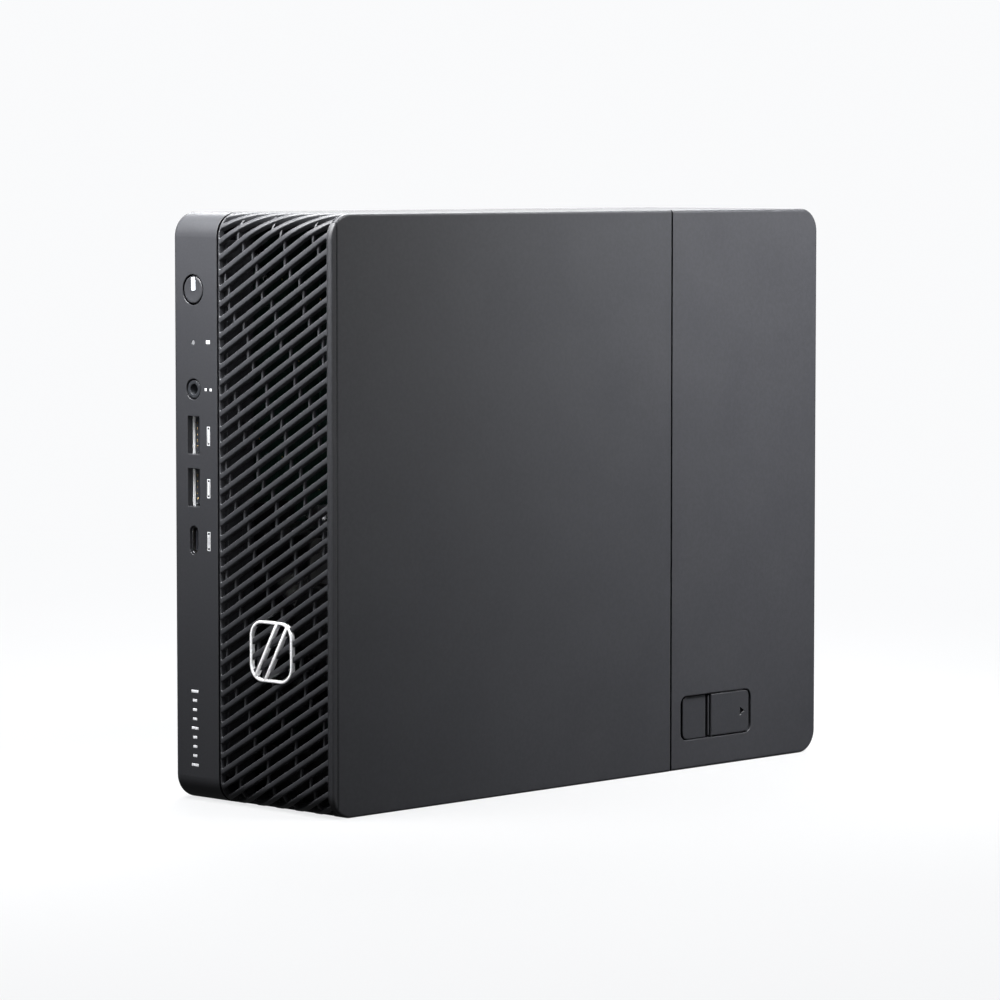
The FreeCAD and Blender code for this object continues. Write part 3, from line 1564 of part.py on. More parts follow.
# ==================================================================== export
doc.recompute()
bad = [obj.Name for obj in doc.Objects if "Invalid" in obj.State or "Error" in obj.State]
if bad:
    raise RuntimeError(f"objects failed: {bad}")
for label, obj in NODES.items():
    shape = obj.Shape
    if shape.isNull() or not shape.isValid() or not shape.Solids:
        raise RuntimeError(f"{label}: no valid solid")
    if any(solid.Volume <= 0 for solid in shape.Solids):
        raise RuntimeError(f"{label}: a solid has no volume")
for label, obj in NODES.items():
    obj.Shape.exportStep(f"parts/{label}.step")
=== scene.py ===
"""Slim upright computer with a slatted front grille, from CAD pieces plus detailed parts.

Z is up and the front faces -Y. Seen from the front, -X is left: the control panel with the
power button and sockets lies left of the grille, and the rubber feet are on the -X wall.
Part sizes are in millimetres; shader coordinates, the stage and the lights are in metres.
"""
import json
import math
from contextlib import contextmanager

import bmesh
import bpy
import numpy as np
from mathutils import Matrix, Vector
from mathutils.geometry import delaunay_2d_cdt


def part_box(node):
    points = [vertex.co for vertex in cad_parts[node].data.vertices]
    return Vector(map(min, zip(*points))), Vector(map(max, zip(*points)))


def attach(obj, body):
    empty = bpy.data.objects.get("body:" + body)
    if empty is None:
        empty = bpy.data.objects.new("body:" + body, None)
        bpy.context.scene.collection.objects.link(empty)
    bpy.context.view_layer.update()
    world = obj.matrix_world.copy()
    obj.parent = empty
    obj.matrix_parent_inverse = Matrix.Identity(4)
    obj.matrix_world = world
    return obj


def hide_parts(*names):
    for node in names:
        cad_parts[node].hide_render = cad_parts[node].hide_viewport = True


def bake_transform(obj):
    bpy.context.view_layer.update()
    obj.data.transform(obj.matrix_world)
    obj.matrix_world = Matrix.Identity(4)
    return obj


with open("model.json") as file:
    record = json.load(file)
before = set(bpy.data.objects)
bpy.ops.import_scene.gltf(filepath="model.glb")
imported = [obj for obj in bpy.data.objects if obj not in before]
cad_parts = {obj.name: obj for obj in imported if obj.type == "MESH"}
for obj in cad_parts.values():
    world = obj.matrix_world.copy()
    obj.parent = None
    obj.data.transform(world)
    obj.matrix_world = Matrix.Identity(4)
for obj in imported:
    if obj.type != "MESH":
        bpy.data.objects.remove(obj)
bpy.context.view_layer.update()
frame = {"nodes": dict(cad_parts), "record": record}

scene = bpy.context.scene
MM = 0.001


def box_mm(node):
    """Low and high corner of a CAD piece, in millimetres."""
    low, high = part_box(node)
    return [c * 1000 for c in low], [c * 1000 for c in high]


# ---------------------------------------------------------- shader building
NOISE_SPAN = (0.3, 0.7)  # where most noise values lie


def srgb(*channels):
    """Linear colour from sRGB channels of 0 to 255."""
    def linear(c):
        c /= 255.0
        return c / 12.92 if c <= 0.04045 else ((c + 0.055) / 1.055) ** 2.4
    return tuple(linear(c) for c in channels) + (1.0,)


def toned(colour, gain, lift=0.0):
    return tuple(min(1.0, c * gain + lift) for c in colour[:3]) + (1.0,)


class Shader:
    """A material with a Principled surface; each method adds nodes and returns a socket."""

    def __init__(self, name):
        self.material = bpy.data.materials.new(name)
        self.material.use_nodes = True
        self.tree = self.material.node_tree
        self.tree.nodes.clear()
        self.output = self.node("ShaderNodeOutputMaterial")
        self.surface = self.node("ShaderNodeBsdfPrincipled")
        self.link(self.surface.outputs[0], self.output.inputs[0])
        self.coord = self.node("ShaderNodeTexCoord").outputs["Object"]

    def node(self, kind, **properties):
        made = self.tree.nodes.new(kind)
        for key, value in properties.items():
            setattr(made, key, value)
        return made

    def link(self, source, target):
        self.tree.links.new(source, target)

    def put(self, socket, value):
        """Links a socket, or sets a plain value."""
        if isinstance(value, bpy.types.NodeSocket):
            self.link(value, socket)
        else:
            socket.default_value = value

    def set(self, **values):
        """Puts values into Principled inputs; underscores stand for spaces."""
        for key, value in values.items():
            self.put(self.surface.inputs[key.replace("_", " ")], value)

    def noise(self, scale, detail, rough, vector=None):
        made = self.node("ShaderNodeTexNoise")
        made.inputs["Scale"].default_value = scale
        made.inputs["Detail"].default_value = detail
        made.inputs["Roughness"].default_value = rough
        self.link(vector or self.coord, made.inputs["Vector"])
        return made.outputs["Fac"]

    def voronoi(self, scale):
        made = self.node("ShaderNodeTexVoronoi", feature="F1")
        made.inputs["Scale"].default_value = scale
        self.link(self.coord, made.inputs["Vector"])
        return made.outputs["Distance"]

    def mapped(self, socket, value):
        """Object coordinates with a scale or rotation applied."""
        made = self.node("ShaderNodeMapping")
        made.inputs[socket].default_value = value
        self.link(self.coord, made.inputs["Vector"])
        return made.outputs[0]

    def split_coord(self):
        split = self.node("ShaderNodeSeparateXYZ")
        self.link(self.coord, split.inputs[0])
        return split.outputs

    def ramp(self, value, span=NOISE_SPAN, to=(0.0, 1.0)):
        """Clamped change of range from span to to."""
        made = self.node("ShaderNodeMapRange")
        made.clamp = True
        self.put(made.inputs["Value"], value)
        for key, limit in zip(("From Min", "From Max", "To Min", "To Max"), (*span, *to)):
            made.inputs[key].default_value = limit
        return made.outputs[0]

    def calc(self, operation, a, b=0.0):
        made = self.node("ShaderNodeMath", operation=operation)
        self.put(made.inputs[0], a)
        self.put(made.inputs[1], b)
        return made.outputs[0]

    def times(self, a, b):
        return self.calc("MULTIPLY", a, b)

    def all_true(self, *tests):
        """1 where every (operation, value, limit) holds, else 0."""
        product = None
        for test in tests:
            held = self.calc(*test)
            product = held if product is None else self.times(product, held)
        return product

    def mix(self, factor, a, b, blend="MIX"):
        made = self.node("ShaderNodeMix", data_type="RGBA", blend_type=blend)
        for index, value in ((0, factor), (6, a), (7, b)):
            self.put(made.inputs[index], value)
        return made.outputs[2]

    def bump(self, height, strength, distance, normal=None):
        made = self.node("ShaderNodeBump")
        made.inputs["Strength"].default_value = strength
        made.inputs["Distance"].default_value = distance
        self.link(height, made.inputs["Height"])
        if normal is not None:
            self.link(normal, made.inputs["Normal"])
        return made.outputs[0]

    def edge_mask(self, radius):
        """Mask that is 0 on flat faces and 1 on sharp edges, and the softened normal."""
        bevel = self.node("ShaderNodeBevel")
        bevel.samples = 6
        bevel.inputs["Radius"].default_value = radius
        geometry = self.node("ShaderNodeNewGeometry")
        dot = self.node("ShaderNodeVectorMath", operation="DOT_PRODUCT")
        self.link(bevel.outputs[0], dot.inputs[0])
        self.link(geometry.outputs["Normal"], dot.inputs[1])
        return self.ramp(dot.outputs["Value"], span=(0.995, 0.80)), bevel.outputs[0]


# -------------------------------------------------- painted shade in narrow joints and recesses
def latch_shade(shader):
    """Painted shade in the latch pocket and on the cover's rim inside the seam at low Y, and dark
    ink in the arrow recess, all fading out towards +X (metres).
    """
    pocket_y, pocket_z, pocket_x = (0.0468, 0.0842), (0.0098, 0.0258), 0.0350
    arrow_y, arrow_x = (0.0780, 0.0812), 0.0370
    arrow_z, arrow_half_height = 0.0178, 0.0017
    rim_y, rim_x = 0.04245, 0.0340

    x, y, z = shader.split_coord()
    # painted shade: the pocket turns near-black towards its floor
    deep = shader.ramp(x, span=(0.0363, 0.0370), to=(0.96, 0.0))
    inside = shader.all_true(
        ("GREATER_THAN", y, pocket_y[0]), ("LESS_THAN", y, pocket_y[1]),
        ("GREATER_THAN", z, pocket_z[0]), ("LESS_THAN", z, pocket_z[1]),
        ("GREATER_THAN", x, pocket_x))
    pocket = shader.times(inside, deep)

    # dark ink in the recessed arrow
    arrow = shader.all_true(("GREATER_THAN", y, arrow_y[0]), ("LESS_THAN", y, arrow_y[1]))
    off_centre = shader.calc("ABSOLUTE", shader.calc("SUBTRACT", z, arrow_z))
    arrow = shader.times(arrow, shader.calc("LESS_THAN", off_centre, arrow_half_height))
    arrow = shader.times(arrow, shader.ramp(x, span=(0.0376, 0.0378), to=(0.9, 0.0)))
    arrow = shader.times(arrow, shader.calc("GREATER_THAN", x, arrow_x))

    # painted shade on the cover's front rim, seen deep in the seam
    rim = shader.times(shader.calc("LESS_THAN", y, rim_y),
                       shader.ramp(x, span=(0.0375, 0.0379), to=(0.9, 0.0)))
    rim = shader.times(rim, shader.calc("GREATER_THAN", x, rim_x))
    return shader.calc("MAXIMUM", shader.calc("MAXIMUM", pocket, arrow), rim)


def panel_shade(shader):
    """Painted shade in the gap around the power button and in the joint beside the grille, behind
    the front face (metres).
    """
    button_x, button_z = -0.02775, 0.1683
    ring_inner, ring_outer = 0.00442, 0.00512
    joint_x = -0.0163

    x, y, z = shader.split_coord()
    dx = shader.calc("ADD", x, -button_x)
    dz = shader.calc("SUBTRACT", z, button_z)
    squares = shader.calc("ADD", shader.times(dx, dx), shader.times(dz, dz))
    radius = shader.calc("SQRT", squares)
    ring = shader.all_true(("GREATER_THAN", radius, ring_inner), ("LESS_THAN", radius, ring_outer))
    joint = shader.calc("GREATER_THAN", x, joint_x)
    # painted shade grows from the front face backwards
    return shader.times(shader.calc("MAXIMUM", ring, joint),
                        shader.ramp(y, span=(-0.1189, -0.1186), to=(0.0, 0.93)))


# --------------------------------------------------------------- materials
materials = {}
# near-black that the painted shade in joints and recesses is mixed towards
PAINTED_SHADE_BLACK = (0.004, 0.004, 0.005, 1)


def moulded(name, colour, roughness, grain, bump, specular=0.45, wear_and_highlight=0.25, blotch=0.06,
            shade=None):
    """Moulding, powder coat or ink: speckle, cloudy tone, and lighter edges that are partly wear
    and partly painted highlight.

    grain is the speckle scale, wear_and_highlight the edge lightening (partly wear, partly painted
    highlight), blotch the swing in tone, and shade a function that paints shade into narrow joints
    and recesses.
    """
    edge_radius = 0.00035
    rough_swing, fine_swing, fine_gain, edge_polish = 0.035, 0.03, 1.0, 0.10

    shader = Shader(name)
    fine = shader.noise(grain, detail=3.0, rough=0.6)
    cells = shader.voronoi(grain * 0.62)
    cloud = shader.noise(14.0, detail=3.0, rough=0.55)
    specks = shader.noise(grain * 0.42, detail=1.0, rough=0.5)
    tone = shader.ramp(cloud, span=(0.25, 0.75), to=(1.0 - blotch, 1.0 + blotch))
    fleck = shader.ramp(specks, span=(0.35, 0.7), to=(0.93, 1.08))
    value = shader.times(tone, fleck)
    base = shader.mix(shader.ramp(fine), toned(colour, gain=0.86), colour)
    grey = shader.node("ShaderNodeCombineColor")
    for channel in range(3):
        shader.link(value, grey.inputs[channel])
    base = shader.mix(1.0, base, grey.outputs[0], "MULTIPLY")

    # the lighter edge, partly wear and partly painted highlight, is broken up by noise
    mask, soft_normal = shader.edge_mask(edge_radius)
    breaks = shader.noise(900.0, detail=4.0, rough=0.7)
    rubbed_and_highlit = shader.times(mask, shader.ramp(breaks, span=(0.35, 0.65), to=(0.35, 1.0)))
    # lighter edges: partly wear, partly a painted highlight along edges
    base = shader.mix(shader.times(rubbed_and_highlit, wear_and_highlight), base, toned(colour, gain=2.1, lift=0.012))
    shader.set(Specular_IOR_Level=specular, Coat_Roughness=0.25)
    # painted shade: joints and recesses are mixed towards near-black
    if shade:
        dark = shade(shader)
        base = shader.mix(dark, base, PAINTED_SHADE_BLACK)
    shader.set(Base_Color=base)

    patches = shader.noise(46.0, detail=4.0, rough=0.6)
    rough = shader.calc(
        "ADD", shader.ramp(patches, to=(roughness - rough_swing, roughness + rough_swing)),
        shader.times(shader.ramp(fine, to=(-fine_swing, fine_swing)), fine_gain))
    rough = shader.calc("SUBTRACT", rough, shader.times(rubbed_and_highlit, edge_polish))
    shader.set(Roughness=rough)
    # no specular sheen where shade is painted
    if shade:
        lit_part = shader.calc("SUBTRACT", 1.0, dark)
        shader.set(Specular_IOR_Level=shader.times(lit_part, specular))
    height = shader.calc("ADD", shader.times(fine, 0.6), shader.times(cells, 0.6))
    shader.set(Normal=shader.bump(height, strength=bump, distance=0.00006, normal=soft_normal))
    materials[name] = shader.material


def metal(name, colour, roughness, brushed, scale, metallic=1.0):
    """Metal with noise lines squeezed by the brushed factors along X, Y and Z."""
    edge_radius, stain = 0.0002, 0.08
    rough_swing, edge_polish = 0.08, 0.08

    shader = Shader(name)
    lines = shader.noise(scale, detail=4.0, rough=0.6, vector=shader.mapped("Scale", brushed))
    cloud = shader.noise(38.0, detail=4.0, rough=0.6)
    base = shader.mix(shader.ramp(cloud), toned(colour, gain=1.0 - 2 * stain), colour)
    mask, soft_normal = shader.edge_mask(edge_radius)
    shader.set(Base_Color=base, Metallic=metallic)
    rough = shader.ramp(lines, to=(roughness - rough_swing, roughness + rough_swing))
    rough = shader.calc("SUBTRACT", rough, shader.times(mask, edge_polish))
    shader.set(Roughness=rough)
    shader.set(Normal=shader.bump(lines, strength=0.05, distance=0.00004, normal=soft_normal))
    materials[name] = shader.material


def glowing(name, colour, strength):
    """Pale plastic that gives off light, slightly uneven."""
    shader = Shader(name)
    shader.set(Base_Color=(0.8, 0.84, 0.88, 1), Roughness=0.3, Emission_Color=colour)
    uneven = shader.noise(700.0, detail=2.0, rough=0.5)
    shader.set(Emission_Strength=shader.ramp(uneven, to=(strength * 0.85, strength)))
    materials[name] = shader.material


def board(name, mask_colour, copper):
    """Circuit board: solder mask, slightly lighter traces and lanes, copper vias."""
    shader = Shader(name)
    lanes = shader.node("ShaderNodeTexBrick")
    for key, value in {
        "Scale": 130.0,
        "Mortar Size": 0.06,
        "Color1": (0, 0, 0, 1),
        "Color2": (0.25, 0.25, 0.25, 1),
        "Mortar": (1, 1, 1, 1),
    }.items():
        lanes.inputs[key].default_value = value
    shader.link(shader.mapped("Rotation", (0.0, math.pi / 2, 0.0)), lanes.inputs["Vector"])
    vias = shader.ramp(shader.voronoi(260.0), span=(0.10, 0.06))
    stretched = shader.mapped("Scale", (0.5, 6.0, 0.7))
    traces = shader.noise(420.0, detail=2.0, rough=0.5, vector=stretched)
    traces = shader.ramp(traces, span=(0.52, 0.56))

    trace_strength, lane_strength, via_metallic = 0.55, 0.12, 0.9
    lighter = toned(mask_colour, gain=1.9, lift=0.01)
    base = shader.mix(shader.times(traces, trace_strength), mask_colour, lighter)
    base = shader.mix(shader.times(lanes.outputs["Color"], lane_strength), base, lighter)
    base = shader.mix(vias, base, copper)
    shader.set(Base_Color=base, Metallic=shader.times(vias, via_metallic))
    patches = shader.noise(90.0, detail=3.0, rough=0.5)
    shader.set(Roughness=shader.ramp(patches, to=(0.32, 0.42)))
    shader.set(Normal=shader.bump(traces, strength=0.15, distance=0.00005))
    materials[name] = shader.material


moulded("case_plastic", srgb(47, 47.8, 51), roughness=0.50, grain=2400, bump=0.14)
moulded("panel_plastic", srgb(51.5, 52.2, 55.5), roughness=0.44, grain=3000, bump=0.08,
        shade=panel_shade)
moulded("grille_plastic", srgb(55, 55.8, 59), roughness=0.42, grain=3000, bump=0.08, wear_and_highlight=0.35)
moulded("painted_sheet", srgb(48, 48.8, 52.3), roughness=0.46, grain=1900, bump=0.16, wear_and_highlight=0.3)
moulded("cover_plastic", srgb(49.5, 50.2, 53.8), roughness=0.46, grain=1900, bump=0.16,
        wear_and_highlight=0.3, shade=latch_shade)
moulded("latch_plastic", srgb(47, 47.8, 51.2), roughness=0.42, grain=2600, bump=0.10,
        wear_and_highlight=0.45, shade=latch_shade)
moulded("black_plastic", srgb(26, 26, 28), roughness=0.5, grain=1800, bump=0.15)
moulded("foot_rubber", srgb(30, 30, 31), roughness=0.78, grain=1500, bump=0.35,
        specular=0.3, wear_and_highlight=0.12)
moulded("tongue_plastic", srgb(186, 188, 194), roughness=0.4, grain=2200, bump=0.06, wear_and_highlight=0.1)
moulded("connector_ivory", srgb(205, 198, 178), roughness=0.45, grain=2000, bump=0.08, wear_and_highlight=0.1)
moulded("white_ink", srgb(248, 249, 252), roughness=0.55, grain=3500, bump=0.25,
        wear_and_highlight=0.05, blotch=0.03)
moulded("emblem_trim", srgb(250, 250, 252), roughness=0.28, grain=2500, bump=0.03,
        specular=0.6, wear_and_highlight=0.05, blotch=0.02)

EVEN, ALONG_X, ALONG_Y = (1, 1, 1), (12, 1, 1), (1, 10, 1)
metal("plated_sheet", (0.50, 0.51, 0.52, 1), roughness=0.34, brushed=(1, 1, 14), scale=500)
metal("plated_fastener", (0.62, 0.62, 0.63, 1), roughness=0.24, brushed=EVEN, scale=1400)
metal("spring_steel", (0.45, 0.46, 0.48, 1), roughness=0.28, brushed=EVEN, scale=1600)
metal("connector_steel", (0.56, 0.57, 0.59, 1), roughness=0.28, brushed=ALONG_Y, scale=700)
metal("brass_post", (0.78, 0.58, 0.26, 1), roughness=0.28, brushed=ALONG_X, scale=700)
metal("chip_lid", (0.66, 0.66, 0.67, 1), roughness=0.26, brushed=(1, 8, 1), scale=500)
metal("sink_aluminium", (0.74, 0.75, 0.77, 1), roughness=0.32, brushed=(1, 16, 1), scale=260)
glowing("light_guide", colour=(0.88, 0.94, 1.0, 1), strength=1.6)
board("circuit_board", mask_colour=(0.010, 0.030, 0.022, 1), copper=(0.75, 0.52, 0.22, 1))
# bright, half-metallic steel for the USB flare: a painted highlight where the front lamps catch it
metal("flare_painted_highlight", (0.80, 0.81, 0.83, 1), roughness=0.42, brushed=ALONG_Y, scale=700,
      metallic=0.35)
metal("shell_dark", (0.20, 0.20, 0.21, 1), roughness=0.40, brushed=ALONG_Y, scale=700)
# chassis is near-black: its own colour, chosen dark so the seam between the covers shows painted
# shade
moulded("chassis_sheet_and_seam_shade", srgb(27, 27.5, 29), roughness=0.50, grain=1900, bump=0.14, wear_and_highlight=0.3)
metal("contact_gold", (0.86, 0.62, 0.26, 1), roughness=0.24, brushed=(1, 8, 1), scale=900)
moulded("tongue_dark", srgb(34, 36, 42), roughness=0.45, grain=2200, bump=0.08)
moulded("jack_collar", srgb(44, 46, 50), roughness=0.46, grain=2600, bump=0.08)
moulded("light_off", srgb(128, 129, 132), roughness=0.35, grain=2400, bump=0.04, wear_and_highlight=0.05)

# CAD pieces whose look differs from the slot on record
CAD_LOOKS = {
    # the darker chassis gives painted shade in the seam
    "chassis": "chassis_sheet_and_seam_shade",
    "usb_c_shell": "shell_dark",
    "drive_light_pipe": "light_off",
    "usb_c_tongue": "tongue_dark",
    "headset_jack": "jack_collar",
}


def paint_cad():
    slots = {part["node"]: part["material_slot"] for part in frame["record"]["subparts"]}
    for name, obj in frame["nodes"].items():
        on_mesh = obj.data.materials
        if len(on_mesh) == 0:
            on_mesh.append(materials[slots[name]])
        for i in range(len(on_mesh)):
            on_mesh[i] = materials[CAD_LOOKS.get(name, slots[name])]


paint_cad()


# -------------------------------------------------------------- mesh tools
@contextmanager
def editing(mesh):
    bm = bmesh.new()
    bm.from_mesh(mesh)
    yield bm
    bm.to_mesh(mesh)
    bm.free()


def mesh_object(name, verts, faces):
    """Links an object whose faces are turned consistently; verts in metres."""
    mesh = bpy.data.meshes.new(name)
    mesh.from_pydata(verts, [], faces)
    mesh.validate()
    obj = bpy.data.objects.new(name, mesh)
    scene.collection.objects.link(obj)
    with editing(mesh) as bm:
        bmesh.ops.recalc_face_normals(bm, faces=bm.faces)
    return obj


def add(name, shape, look, body=None, replaces=None, sharp=32):
    """Makes a part from (verts in millimetres, faces); edges from sharp degrees stay hard."""
    verts, faces = shape
    obj = mesh_object(name, [(x * MM, y * MM, z * MM) for x, y, z in verts], faces)
    for face in obj.data.polygons:
        face.use_smooth = True
    limit = math.radians(sharp)
    with editing(obj.data) as bm:
        for edge in bm.edges:
            edge.smooth = len(edge.link_faces) == 2 and edge.calc_face_angle(0.0) < limit
    obj.data.materials.append(materials[look])
    if body:
        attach(obj, body)
    if replaces:
        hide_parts(replaces)
    return obj


def join_rings(first, second, flip=False, closed=True):
    """Quads between two rings of vertex numbers; flip turns them the other way."""
    count = len(first)
    quads = []
    for i in range(count if closed else count - 1):
        j = (i + 1) % count
        quad = (first[i], first[j], second[j], second[i])
        quads.append(quad[:1] + quad[:0:-1] if flip else quad)
    return quads


def tube(count, size, looped=False, flip=False, closed=True):
    """Quads over count rings of size points; looped joins the last ring to the first."""
    rings = [range(k * size, (k + 1) * size) for k in range(count)]
    if looped:
        rings.append(rings[0])
    return [quad for first, second in zip(rings, rings[1:])
            for quad in join_rings(first, second, flip, closed)]


def capped_tube(count, size):
    ends = [tuple(range(size))[::-1], tuple(range((count - 1) * size, count * size))]
    return tube(count, size) + ends


def joined(shapes):
    """One (verts, faces) from several."""
    verts, faces = [], []
    for more_verts, more_faces in shapes:
        base = len(verts)
        verts += more_verts
        faces += [tuple(i + base for i in face) for face in more_faces]
    return verts, faces


def weld(verts, faces, tolerance=1e-4):
    """Merges coincident points and drops faces that collapse."""
    index, merged, remap = {}, [], []
    for vert in verts:
        key = tuple(round(c / tolerance) for c in vert)
        if key not in index:
            index[key] = len(merged)
            merged.append(vert)
        remap.append(index[key])
    kept = []
    for face in faces:
        corners = []
        for i in face:
            if not corners or corners[-1] != remap[i]:
                corners.append(remap[i])
        if len(corners) > 1 and corners[0] == corners[-1]:
            corners.pop()
        if len(corners) > 2:
            kept.append(tuple(corners))
    return merged, kept


def lathe(profile, centre, axis, steps):
    """Turns (radius, height) points about an axis through centre."""
    verts = []
    for i in range(steps):
        angle = 2 * math.pi * i / steps
        for radius, height in profile:
            offsets = [radius * math.cos(angle), radius * math.sin(angle)]
            offsets.insert("xyz".index(axis), height)
            verts.append(tuple(c + d for c, d in zip(centre, offsets)))
    return weld(verts, tube(steps, len(profile), looped=True, flip=True, closed=False))


def round_corners(points, radius, steps):
    """Rounds the corners of a closed outline; nearly straight corners stay."""
    rounded = []
    for i in range(len(points)):
        before, corner, after = (np.array(points[k % len(points)]) for k in (i - 1, i, i + 1))
        a, b = before - corner, after - corner
        length_a, length_b = np.linalg.norm(a), np.linalg.norm(b)
        a, b = a / length_a, b / length_b
        angle = math.acos(max(-1, min(1, float(a @ b))))
        if angle > math.radians(176):
            rounded.append(tuple(corner))
            continue
        cut = min(radius / math.tan(angle / 2), length_a * 0.45, length_b * 0.45)
        r = cut * math.tan(angle / 2)
        centre = corner + (a + b) / np.linalg.norm(a + b) * (r / math.sin(angle / 2))
        start, end = corner + a * cut - centre, corner + b * cut - centre
        start_angle, end_angle = math.atan2(start[1], start[0]), math.atan2(end[1], end[0])
        turn = (end_angle - start_angle + math.pi) % (2 * math.pi) - math.pi
        for k in range(steps + 1):
            t = start_angle + turn * k / steps
            rounded.append((centre[0] + r * math.cos(t), centre[1] + r * math.sin(t)))
    return rounded


def rounded_rect(u_low, u_high, v_low, v_high, radius, steps):
    corners = [(u_low, v_low), (u_high, v_low), (u_high, v_high), (u_low, v_high)]
    return round_corners(corners, radius, steps)


def offset(points, distance):
    """Moves a counter-clockwise outline outwards (inwards if negative)."""
    def edge_normal(start, end):
        du, dv = end[0] - start[0], end[1] - start[1]
        length = math.hypot(du, dv) or 1e-9  # guards edges of no length
        return dv / length, -du / length

    moved = []
    for i, point in enumerate(points):
        a = edge_normal(points[i - 1], point)
        b = edge_normal(point, points[(i + 1) % len(points)])
        mitre = max(1 + a[0] * b[0] + a[1] * b[1], 0.35)  # limits spikes at sharp corners
        moved.append((point[0] + distance * (a[0] + b[0]) / mitre,
                      point[1] + distance * (a[1] + b[1]) / mitre))
    return moved


def area(points):
    return 0.5 * sum(p[0] * q[1] - q[0] * p[1] for p, q in zip(points, points[1:] + points[:1]))


def ccw(points):
    return points if area(points) > 0 else points[::-1]


def subdivide(points, step):
    """Splits the sides of a closed outline so that none is longer than step."""
    split = []
    for i, p in enumerate(points):
        q = points[(i + 1) % len(points)]
        count = max(1, int(math.ceil(math.dist(p, q) / step)))
        for j in range(count):
            t = j / count
            split.append((p[0] + (q[0] - p[0]) * t, p[1] + (q[1] - p[1]) * t))
    return split


def slab(outline, back, front, bevel):
    """Closed slab over an (x, z) outline from y = back to front, its front rim rounded."""
    steps = 3
    outline = ccw(outline)
    levels = [(0.0, back)]
    for k in range(steps + 1):
        t = math.pi / 2 * k / steps
        levels.append((-bevel * (1 - math.cos(t)), front + bevel * (1 - math.sin(t))))
    verts = [(x, y, z) for grow, y in levels for x, z in offset(outline, grow)]
    return verts, capped_tube(len(levels), len(outline))


def block(x_span, y_span, z_span, radius=0.1):
    """Small block with eased edges towards the front."""
    outline = rounded_rect(*x_span, *z_span, radius, 2)
    return slab(outline, y_span[1], y_span[0], min(radius, 0.12))


def around(centre, half):
    return centre - half, centre + half


# ------------------------------------------------------------ front grille
# The shell is laid out flat in (x, s): s is z on the flat front, and runs on over the
# rolled top and bottom edges and back along the top and bottom faces.
grille_low, grille_high = box_mm("front_grille")
HEIGHT = box_mm("bezel_frame")[1][2]
FRONT = grille_low[1]       # y of the front face
LEFT, RIGHT = grille_low[0], grille_high[0]
ROLL = 8.0                  # outer radius of the rolled edges
GRILLE_WALL = 2.0
SLOT_BEVEL, RIM_BEVEL = 0.38, 0.3
MARGIN = 0.6                # solid band around the slots

ROD_PITCH, ROD_SLOPE, ROD_WIDTH = 5.1, 0.56, 1.75
HALF_LANE = (ROD_PITCH - ROD_WIDTH / math.cos(math.atan(ROD_SLOPE))) / 2  # along s
ROD_X, ROD_S = box_mm("bezel_frame")[0][0] + 23.3, 117.9  # a point on the reference rod

BRIDGE_PITCH, BRIDGE_START, BRIDGE_STEP = 13.2, 1.8, 2.2  # along x; step is per lane
BRIDGE_SHIFTS = (0.0, -2.1, -1.9, 0.35)  # extra x, repeating every four lanes
BRIDGE_WIDTH, BRIDGE_DEPTH = 0.8, 0.9
BRIDGE_BACK, BRIDGE_CHAMFER = 1.9, 0.12

S_LOW, S_HIGH = ROLL - ROLL * math.pi / 2, HEIGHT - ROLL + ROLL * math.pi / 2
RETURN = grille_high[1] - FRONT - ROLL  # run of the top and bottom faces behind the roll
SLOT_X = (LEFT + MARGIN, RIGHT - MARGIN)
LANES = range(int((ROD_S - S_HIGH) / ROD_PITCH) - 12, int((ROD_S - S_LOW) / ROD_PITCH) + 14)


def mid_line(lane, x):
    return ROD_S + ROD_SLOPE * (x - ROD_X) - (lane + 0.5) * ROD_PITCH


def on_roll(low, high):
    return low < ROLL or high > HEIGHT - ROLL


def rolled(x, s, depth):
    """Point of the grille shell at depth below its outer face."""
    if s > S_HIGH:
        return (x, FRONT + ROLL + (s - S_HIGH), HEIGHT - depth)
    if s < S_LOW:
        return (x, FRONT + ROLL + (S_LOW - s), depth)
    if s > HEIGHT - ROLL:
        angle, centre_z, sign = (s - (HEIGHT - ROLL)) / ROLL, HEIGHT - ROLL, 1
    elif s < ROLL:
        angle, centre_z, sign = (ROLL - s) / ROLL, ROLL, -1
    else:
        return (x, FRONT + depth, s)
    r = ROLL - depth
    return (x, FRONT + ROLL - r * math.cos(angle), centre_z + sign * r * math.sin(angle))


def clip(points, sign, limit):
    """Part of an outline below the limit in s (sign 1) or above it (sign -1)."""
    kept = []
    for i, p in enumerate(points):
        q = points[(i + 1) % len(points)]
        over_p, over_q = sign * p[1] - sign * limit, sign * q[1] - sign * limit
        if over_p <= 0:
            kept.append(p)
        if over_p * over_q < 0:
            t = over_p / (over_p - over_q)
            kept.append((p[0] + t * (q[0] - p[0]), p[1] + t * (q[1] - p[1])))
    return kept


def slot_outlines():
    """Open lane between two neighbouring rods, one rounded outline per lane."""
    same_point, smallest_area = 0.05, 3.0
    x_low, x_high = SLOT_X
    outlines = []
    for lane in LANES:
        a, b = mid_line(lane, x_low), mid_line(lane, x_high)
        shape = [(x_low, a - HALF_LANE), (x_high, b - HALF_LANE),
                 (x_high, b + HALF_LANE), (x_low, a + HALF_LANE)]
        shape = clip(clip(shape, -1, S_LOW + MARGIN), 1, S_HIGH - MARGIN)
        clean = []
        for p in shape:
            if not clean or math.dist(p, clean[-1]) > same_point:
                clean.append(p)
        if len(clean) > 1 and math.dist(clean[0], clean[-1]) < same_point:
            clean.pop()
        if len(clean) < 3 or abs(area(clean)) <= smallest_area:
            continue
        outline = round_corners(ccw(clean), 0.3, 3)
        low, high = min(p[1] for p in outline), max(p[1] for p in outline)
        outlines.append(ccw(subdivide(outline, 1.1 if on_roll(low, high) else 3.4)))
    return outlines


